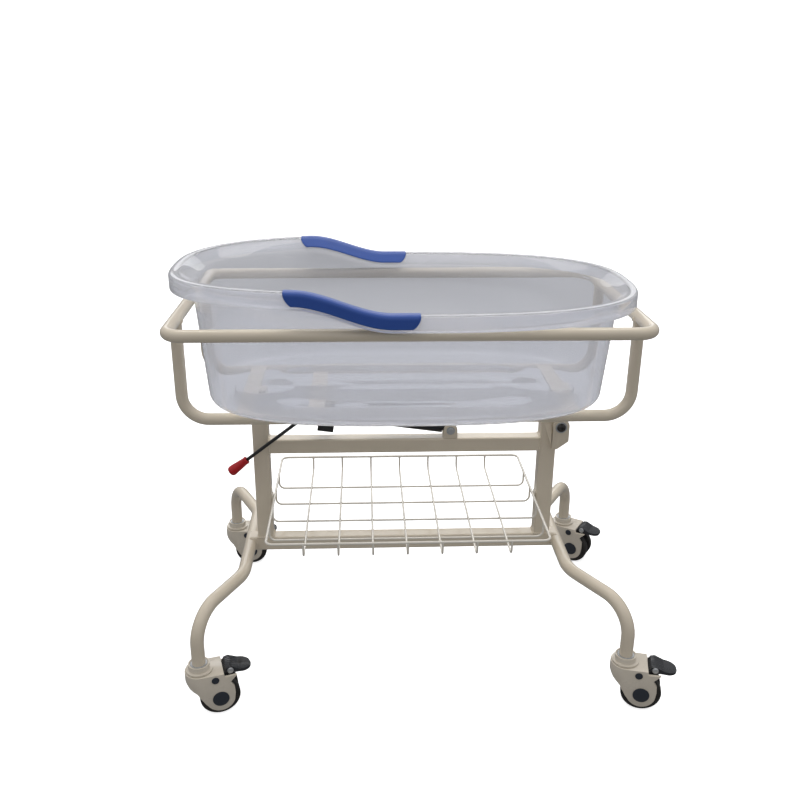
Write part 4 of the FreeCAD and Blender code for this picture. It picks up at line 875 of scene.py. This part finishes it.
bm = bmesh.new()
rows = [[bm.verts.new((p + SHIFT) * MM) for p in ring] for ring in tub_rings]
for lower, upper in zip(rows, rows[1:]):
    for i in range(AROUND):
        j = (i + 1) % AROUND
        bm.faces.new((lower[i], lower[j], upper[j], upper[i]))
bm.faces.new(list(reversed(rows[0])))
flat = [Vector((p.x, p.y)) for p in tub_rings[-1]]
heights = [p.z for p in tub_rings[-1]]
edges = [(i, (i + 1) % AROUND) for i in range(AROUND)]
for points, level in floor_loops:
    first = len(flat)
    flat += [Vector(p) for p in points]
    heights += [level] * len(points)
    edges += [(first + i, first + (i + 1) % len(points)) for i in range(len(points))]
corners, _, triangles, origins = delaunay_2d_cdt(flat, edges, [], 0, 1e-5)[:4]
floor_verts = []
for point, origin in zip(corners, origins):
    height = heights[origin[0]] if origin else platform
    floor_verts.append(bm.verts.new((Vector((point.x, point.y, height)) + SHIFT) * MM))
for triangle in triangles:
    bm.faces.new([floor_verts[i] for i in triangle])
bmesh.ops.remove_doubles(bm, verts=bm.verts, dist=1e-6)
tub_mesh = closed_mesh("moulded_tub", bm)

# Natural polypropylene, injection moulded: clear enough to show what is behind it, a little
# blue and faintly milky, with the clean gloss and slow ripples of a polished mould.
clear_plastic, tree, place = new_finish("natural_polypropylene")
flow = add(tree, "ShaderNodeTexNoise", {"Vector": place, "Scale": 1 / FLOW_LENGTH, "Detail": 2.0})
tint = add(tree, "ShaderNodeMix", {0: flow.outputs[0], 6: linear("#F6F7FB"), 7: linear("#F0F2F8")},
           data_type="RGBA")
ripple = add(tree, "ShaderNodeTexNoise", {"Vector": place, "Scale": 1 / (60 * MM), "Detail": 0.0})
ripple_bump = add(tree, "ShaderNodeBump", {
    "Height": ripple.outputs[0], "Strength": 0.04, "Distance": 0.4 * MM})
shader = add(tree, "ShaderNodeBsdfPrincipled", {
    "Base Color": tint.outputs[2], "Roughness": 0.015, "Normal": ripple_bump.outputs[0], "IOR": 1.4,
    "Transmission Weight": 0.86})
glow = add(tree, "ShaderNodeBsdfTranslucent", {"Color": linear("#F6F7FA")})
milky = add(tree, "ShaderNodeMixShader", {0: 0.09, 1: shader.outputs[0], 2: glow.outputs[0]})
show(tree, milky)
moulded = finish_mesh("moulded_tub", tub_mesh, "tub", clear_plastic, ["tub_shell"],
                      smooth_below=50)
# The lamps shine through the clear wall onto the frame under it.
moulded.visible_shadow = False

# ---------------------------------------------------------------- grips
# Two soft blue vinyl saddles pushed over the rim, one on each long side, where hands lift
# the tub.  They are 1.5 mm thick with rolled edges, and their ends are cut in a long curve.
GRIP_START = -212
GRIP_END = 11
GRIP_LIFT = 0.25
GRIP_THICK = 1.45
END_CURVE = 35
CUT_DEPTH = 29
CREST_FLAT = 16
INNER_SHARE = 0.25
blue_vinyl, tree, place = new_finish("moulded_blue_vinyl")
# Mid blue with a soft sheen, finely grained so that the highlights spread, and hand wear
# that lightens it in slow patches.
grain = add(tree, "ShaderNodeTexNoise", {"Vector": place, "Scale": 1 / (1.4 * MM), "Detail": 2.0})
grain_bump = add(tree, "ShaderNodeBump", {
    "Height": grain.outputs[0], "Strength": 0.12, "Distance": 0.1 * MM})
wear = add(tree, "ShaderNodeTexNoise", {"Vector": place, "Scale": 1 / (40 * MM), "Detail": 3.0})
tint = add(tree, "ShaderNodeMix", {0: wear.outputs[0], 6: linear("#2B57B0"), 7: linear("#2650A4")},
           data_type="RGBA")
sheen = add(tree, "ShaderNodeMapRange", {"Value": wear.outputs[0], "To Min": 0.28, "To Max": 0.42})
shader = add(tree, "ShaderNodeBsdfPrincipled", {
    "Base Color": tint.outputs[2], "Roughness": sheen.outputs[0], "IOR": 1.52,
    "Normal": grain_bump.outputs[0]})
show(tree, shader)

# The section of a saddle: from low on the inner flare, over the crest, to low on the skirt.
section = [(36, 17), (21.4, 2.4), (TOP_IN, 0.7), (CREST_FLAT, 0), (EDGE_ROUND, 0)]
section += [(inward, down) for inward, down in reversed(quarter_round(EDGE_ROUND, 8))][1:]
section.append((0, SKIRT - 6))


def marks(total, count):
    """Distances along a length, closer together over the rounded edge at each end."""
    fine = (0, 0.12, 0.4, 0.85, GRIP_THICK)
    plain = total - 2 * fine[-1]
    between = [fine[-1] + plain * i / count for i in range(1, count)]
    return [*fine, *between, *(total - f for f in reversed(fine))]


lengths = [0]
for a, b in zip(section, section[1:]):
    lengths.append(lengths[-1] + math.dist(a, b))
across = []
for mark in marks(lengths[-1], 36):
    k = max(i for i in range(len(section) - 1) if lengths[i] <= mark + 1e-9)
    start, end = Vector(section[k]), Vector(section[k + 1])
    spot = start + (end - start) * (mark - lengths[k]) / (lengths[k + 1] - lengths[k])
    normal = Vector((start.y - end.y, end.x - start.x)).normalized()
    across.append((spot, normal, min(mark, lengths[-1] - mark)))
for node, side in (("grip_front", -1), ("grip_back", 1)):
    bm = bmesh.new()
    layers = []
    for outer in (True, False):
        grid = []
        for k, (spot, normal, to_edge) in enumerate(across):
            lift = (across[max(k - 1, 0)][1] + normal + across[min(k + 1, len(across) - 1)][1]).normalized()
            depth = spot.y + max(0, spot.x - CREST_FLAT) * INNER_SHARE
            cut = END_CURVE * (1 - math.sqrt(1 - (depth / CUT_DEPTH) ** 2))
            length = GRIP_END - GRIP_START - 2 * cut
            row = []
            for mark in marks(length, 44):
                x = GRIP_START + cut + mark
                margin = min(to_edge, mark, length - mark, GRIP_THICK) / GRIP_THICK
                height = GRIP_LIFT + (GRIP_THICK * math.sqrt(1 - (1 - margin) ** 2) if outer else 0)
                inset = spot.x + lift.x * height
                half_span, centre = rim_span(inset)
                share = 1 - (abs(x - centre) / half_span) ** RIM_POWER
                point = Vector((x, side * (HALF_WIDTH - inset) * share ** (1 / RIM_POWER),
                                CREST + rim_rise(x) - spot.y - lift.y * height))
                row.append(bm.verts.new((point + SHIFT) * MM))
            grid.append(row)
        layers.append(grid)
    for grid in layers:
        for low, high in zip(grid, grid[1:]):
            for i in range(len(low) - 1):
                bm.faces.new((low[i], low[i + 1], high[i + 1], high[i]))
    bmesh.ops.remove_doubles(bm, verts=bm.verts, dist=1e-6)
    finish_mesh("saddle_" + node, closed_mesh("saddle_" + node, bm), "tub", blue_vinyl, [node],
                smooth_below=60)

# ---------------------------------------------------------------- studio
# White infinity cove, one soft lamp overhead, and a window and a bright strip behind.  The
# cove is only for the camera's own view, so that the object keeps its soft contrast.
cove, tree, place = new_finish("white_cove")
# Matt white paint that glows a little, so that the floor stays pale right into the corners.
shader = add(tree, "ShaderNodeBsdfPrincipled", {
    "Base Color": linear("#F4F4F4"), "Roughness": 0.9, "Emission Color": linear("#FFFFFF"),
    "Emission Strength": 0.75})
show(tree, shader)
bm = bmesh.new()
profile = [(-6.0, 0.0)] + [(5.0 + 2.0 * math.sin(math.radians(t)), 2.0 - 2.0 * math.cos(math.radians(t)))
                           for t in range(0, 91, 6)] + [(7.0, 9.0)]
for (y0, z0), (y1, z1) in zip(profile, profile[1:]):
    bm.faces.new([bm.verts.new(p) for p in ((-9, y0, z0), (9, y0, z0), (9, y1, z1), (-9, y1, z1))])
bmesh.ops.remove_doubles(bm, verts=bm.verts, dist=1e-6)
mesh = bpy.data.meshes.new("cove")
bm.to_mesh(mesh)
bm.free()
mesh.materials.append(cove)
mesh.shade_smooth()
backdrop = bpy.data.objects.new("cove", mesh)
bpy.context.scene.collection.objects.link(backdrop)
backdrop.visible_diffuse = False
backdrop.visible_glossy = False
backdrop.visible_transmission = False

# Grey room light that grows towards the ceiling.  What is seen through the tub's clear wall
# is a plain room, paler towards its floor.
world = bpy.data.worlds.new("studio")
world.use_nodes = True
world.node_tree.nodes.clear()
direction = add(world.node_tree, "ShaderNodeTexCoord").outputs["Generated"]
split = add(world.node_tree, "ShaderNodeSeparateXYZ", {0: direction})
ceiling = add(world.node_tree, "ShaderNodeMapRange", {
    "Value": split.outputs["Z"], "From Min": -0.2, "From Max": 0.9, "To Min": 0.2, "To Max": 0.8})
ray = add(world.node_tree, "ShaderNodeLightPath")
room = add(world.node_tree, "ShaderNodeMapRange", {
    "Value": split.outputs["Z"], "From Min": -0.31, "From Max": -0.2, "To Min": 0.66, "To Max": 0.4})
level = add(world.node_tree, "ShaderNodeMix", {
    0: ray.outputs["Is Transmission Ray"], 2: ceiling.outputs[0], 3: room.outputs[0]}, data_type="FLOAT")
sky = add(world.node_tree, "ShaderNodeBackground", {
    "Color": linear("#FDFDFF"), "Strength": level.outputs[0]})
add(world.node_tree, "ShaderNodeOutputWorld", {"Surface": sky.outputs[0]})
bpy.context.scene.world = world


def lamp(name, place, aim, width, depth, power, colour):
    """A rectangular soft lamp, turned towards a point."""
    light = bpy.data.lights.new(name, "AREA")
    light.shape = "RECTANGLE"
    light.size = width
    light.size_y = depth
    light.energy = power
    light.color = linear(colour)[:3]
    lit = bpy.data.objects.new(name, light)
    bpy.context.scene.collection.objects.link(lit)
    lit.visible_camera = False
    lit.location = place
    lit.rotation_euler = (Vector(aim) - Vector(place)).to_track_quat("-Z", "Y").to_euler()
    return lit


lamp("overhead", (0.0, 0.7, 3.0), (0, 0, 0.5), 2.6, 1.2, 21, "#FFFCF6")
for name, tall, power in (("back_window", 1.0, 15), ("back_strip", 0.12, 10)):
    behind = lamp(name, (0.0, 3.4, 2.0), (0, 0, 0.4), 3.8, tall, power, "#FCFDFF")
    behind.visible_transmission = False

# The camera stands a little left of the bassinet's middle and looks down on it.
CAMERA_PLACE = (-0.11673, -1.61043, 1.13573)
YAW = math.radians(2.58)
PITCH = math.radians(20.87)
ROLL = math.radians(0.42)
SENSOR_WIDTH = 36
FOCAL_LENGTH = 39.164
ahead = Vector((math.sin(YAW) * math.cos(PITCH), math.cos(YAW) * math.cos(PITCH), -math.sin(PITCH)))
right = Vector((math.cos(YAW), -math.sin(YAW), 0))
up = right.cross(ahead)
right, up = (math.cos(ROLL) * right + math.sin(ROLL) * up, math.cos(ROLL) * up - math.sin(ROLL) * right)
lens = bpy.data.cameras.new("camera")
lens.sensor_width = SENSOR_WIDTH
lens.lens = FOCAL_LENGTH
camera = bpy.data.objects.new("camera", lens)
bpy.context.scene.collection.objects.link(camera)
camera.matrix_world = Matrix.Translation(CAMERA_PLACE) @ Matrix((right, up, -ahead)).transposed().to_4x4()
bpy.context.scene.camera = camera
bpy.context.scene.view_settings.view_transform = "Standard"
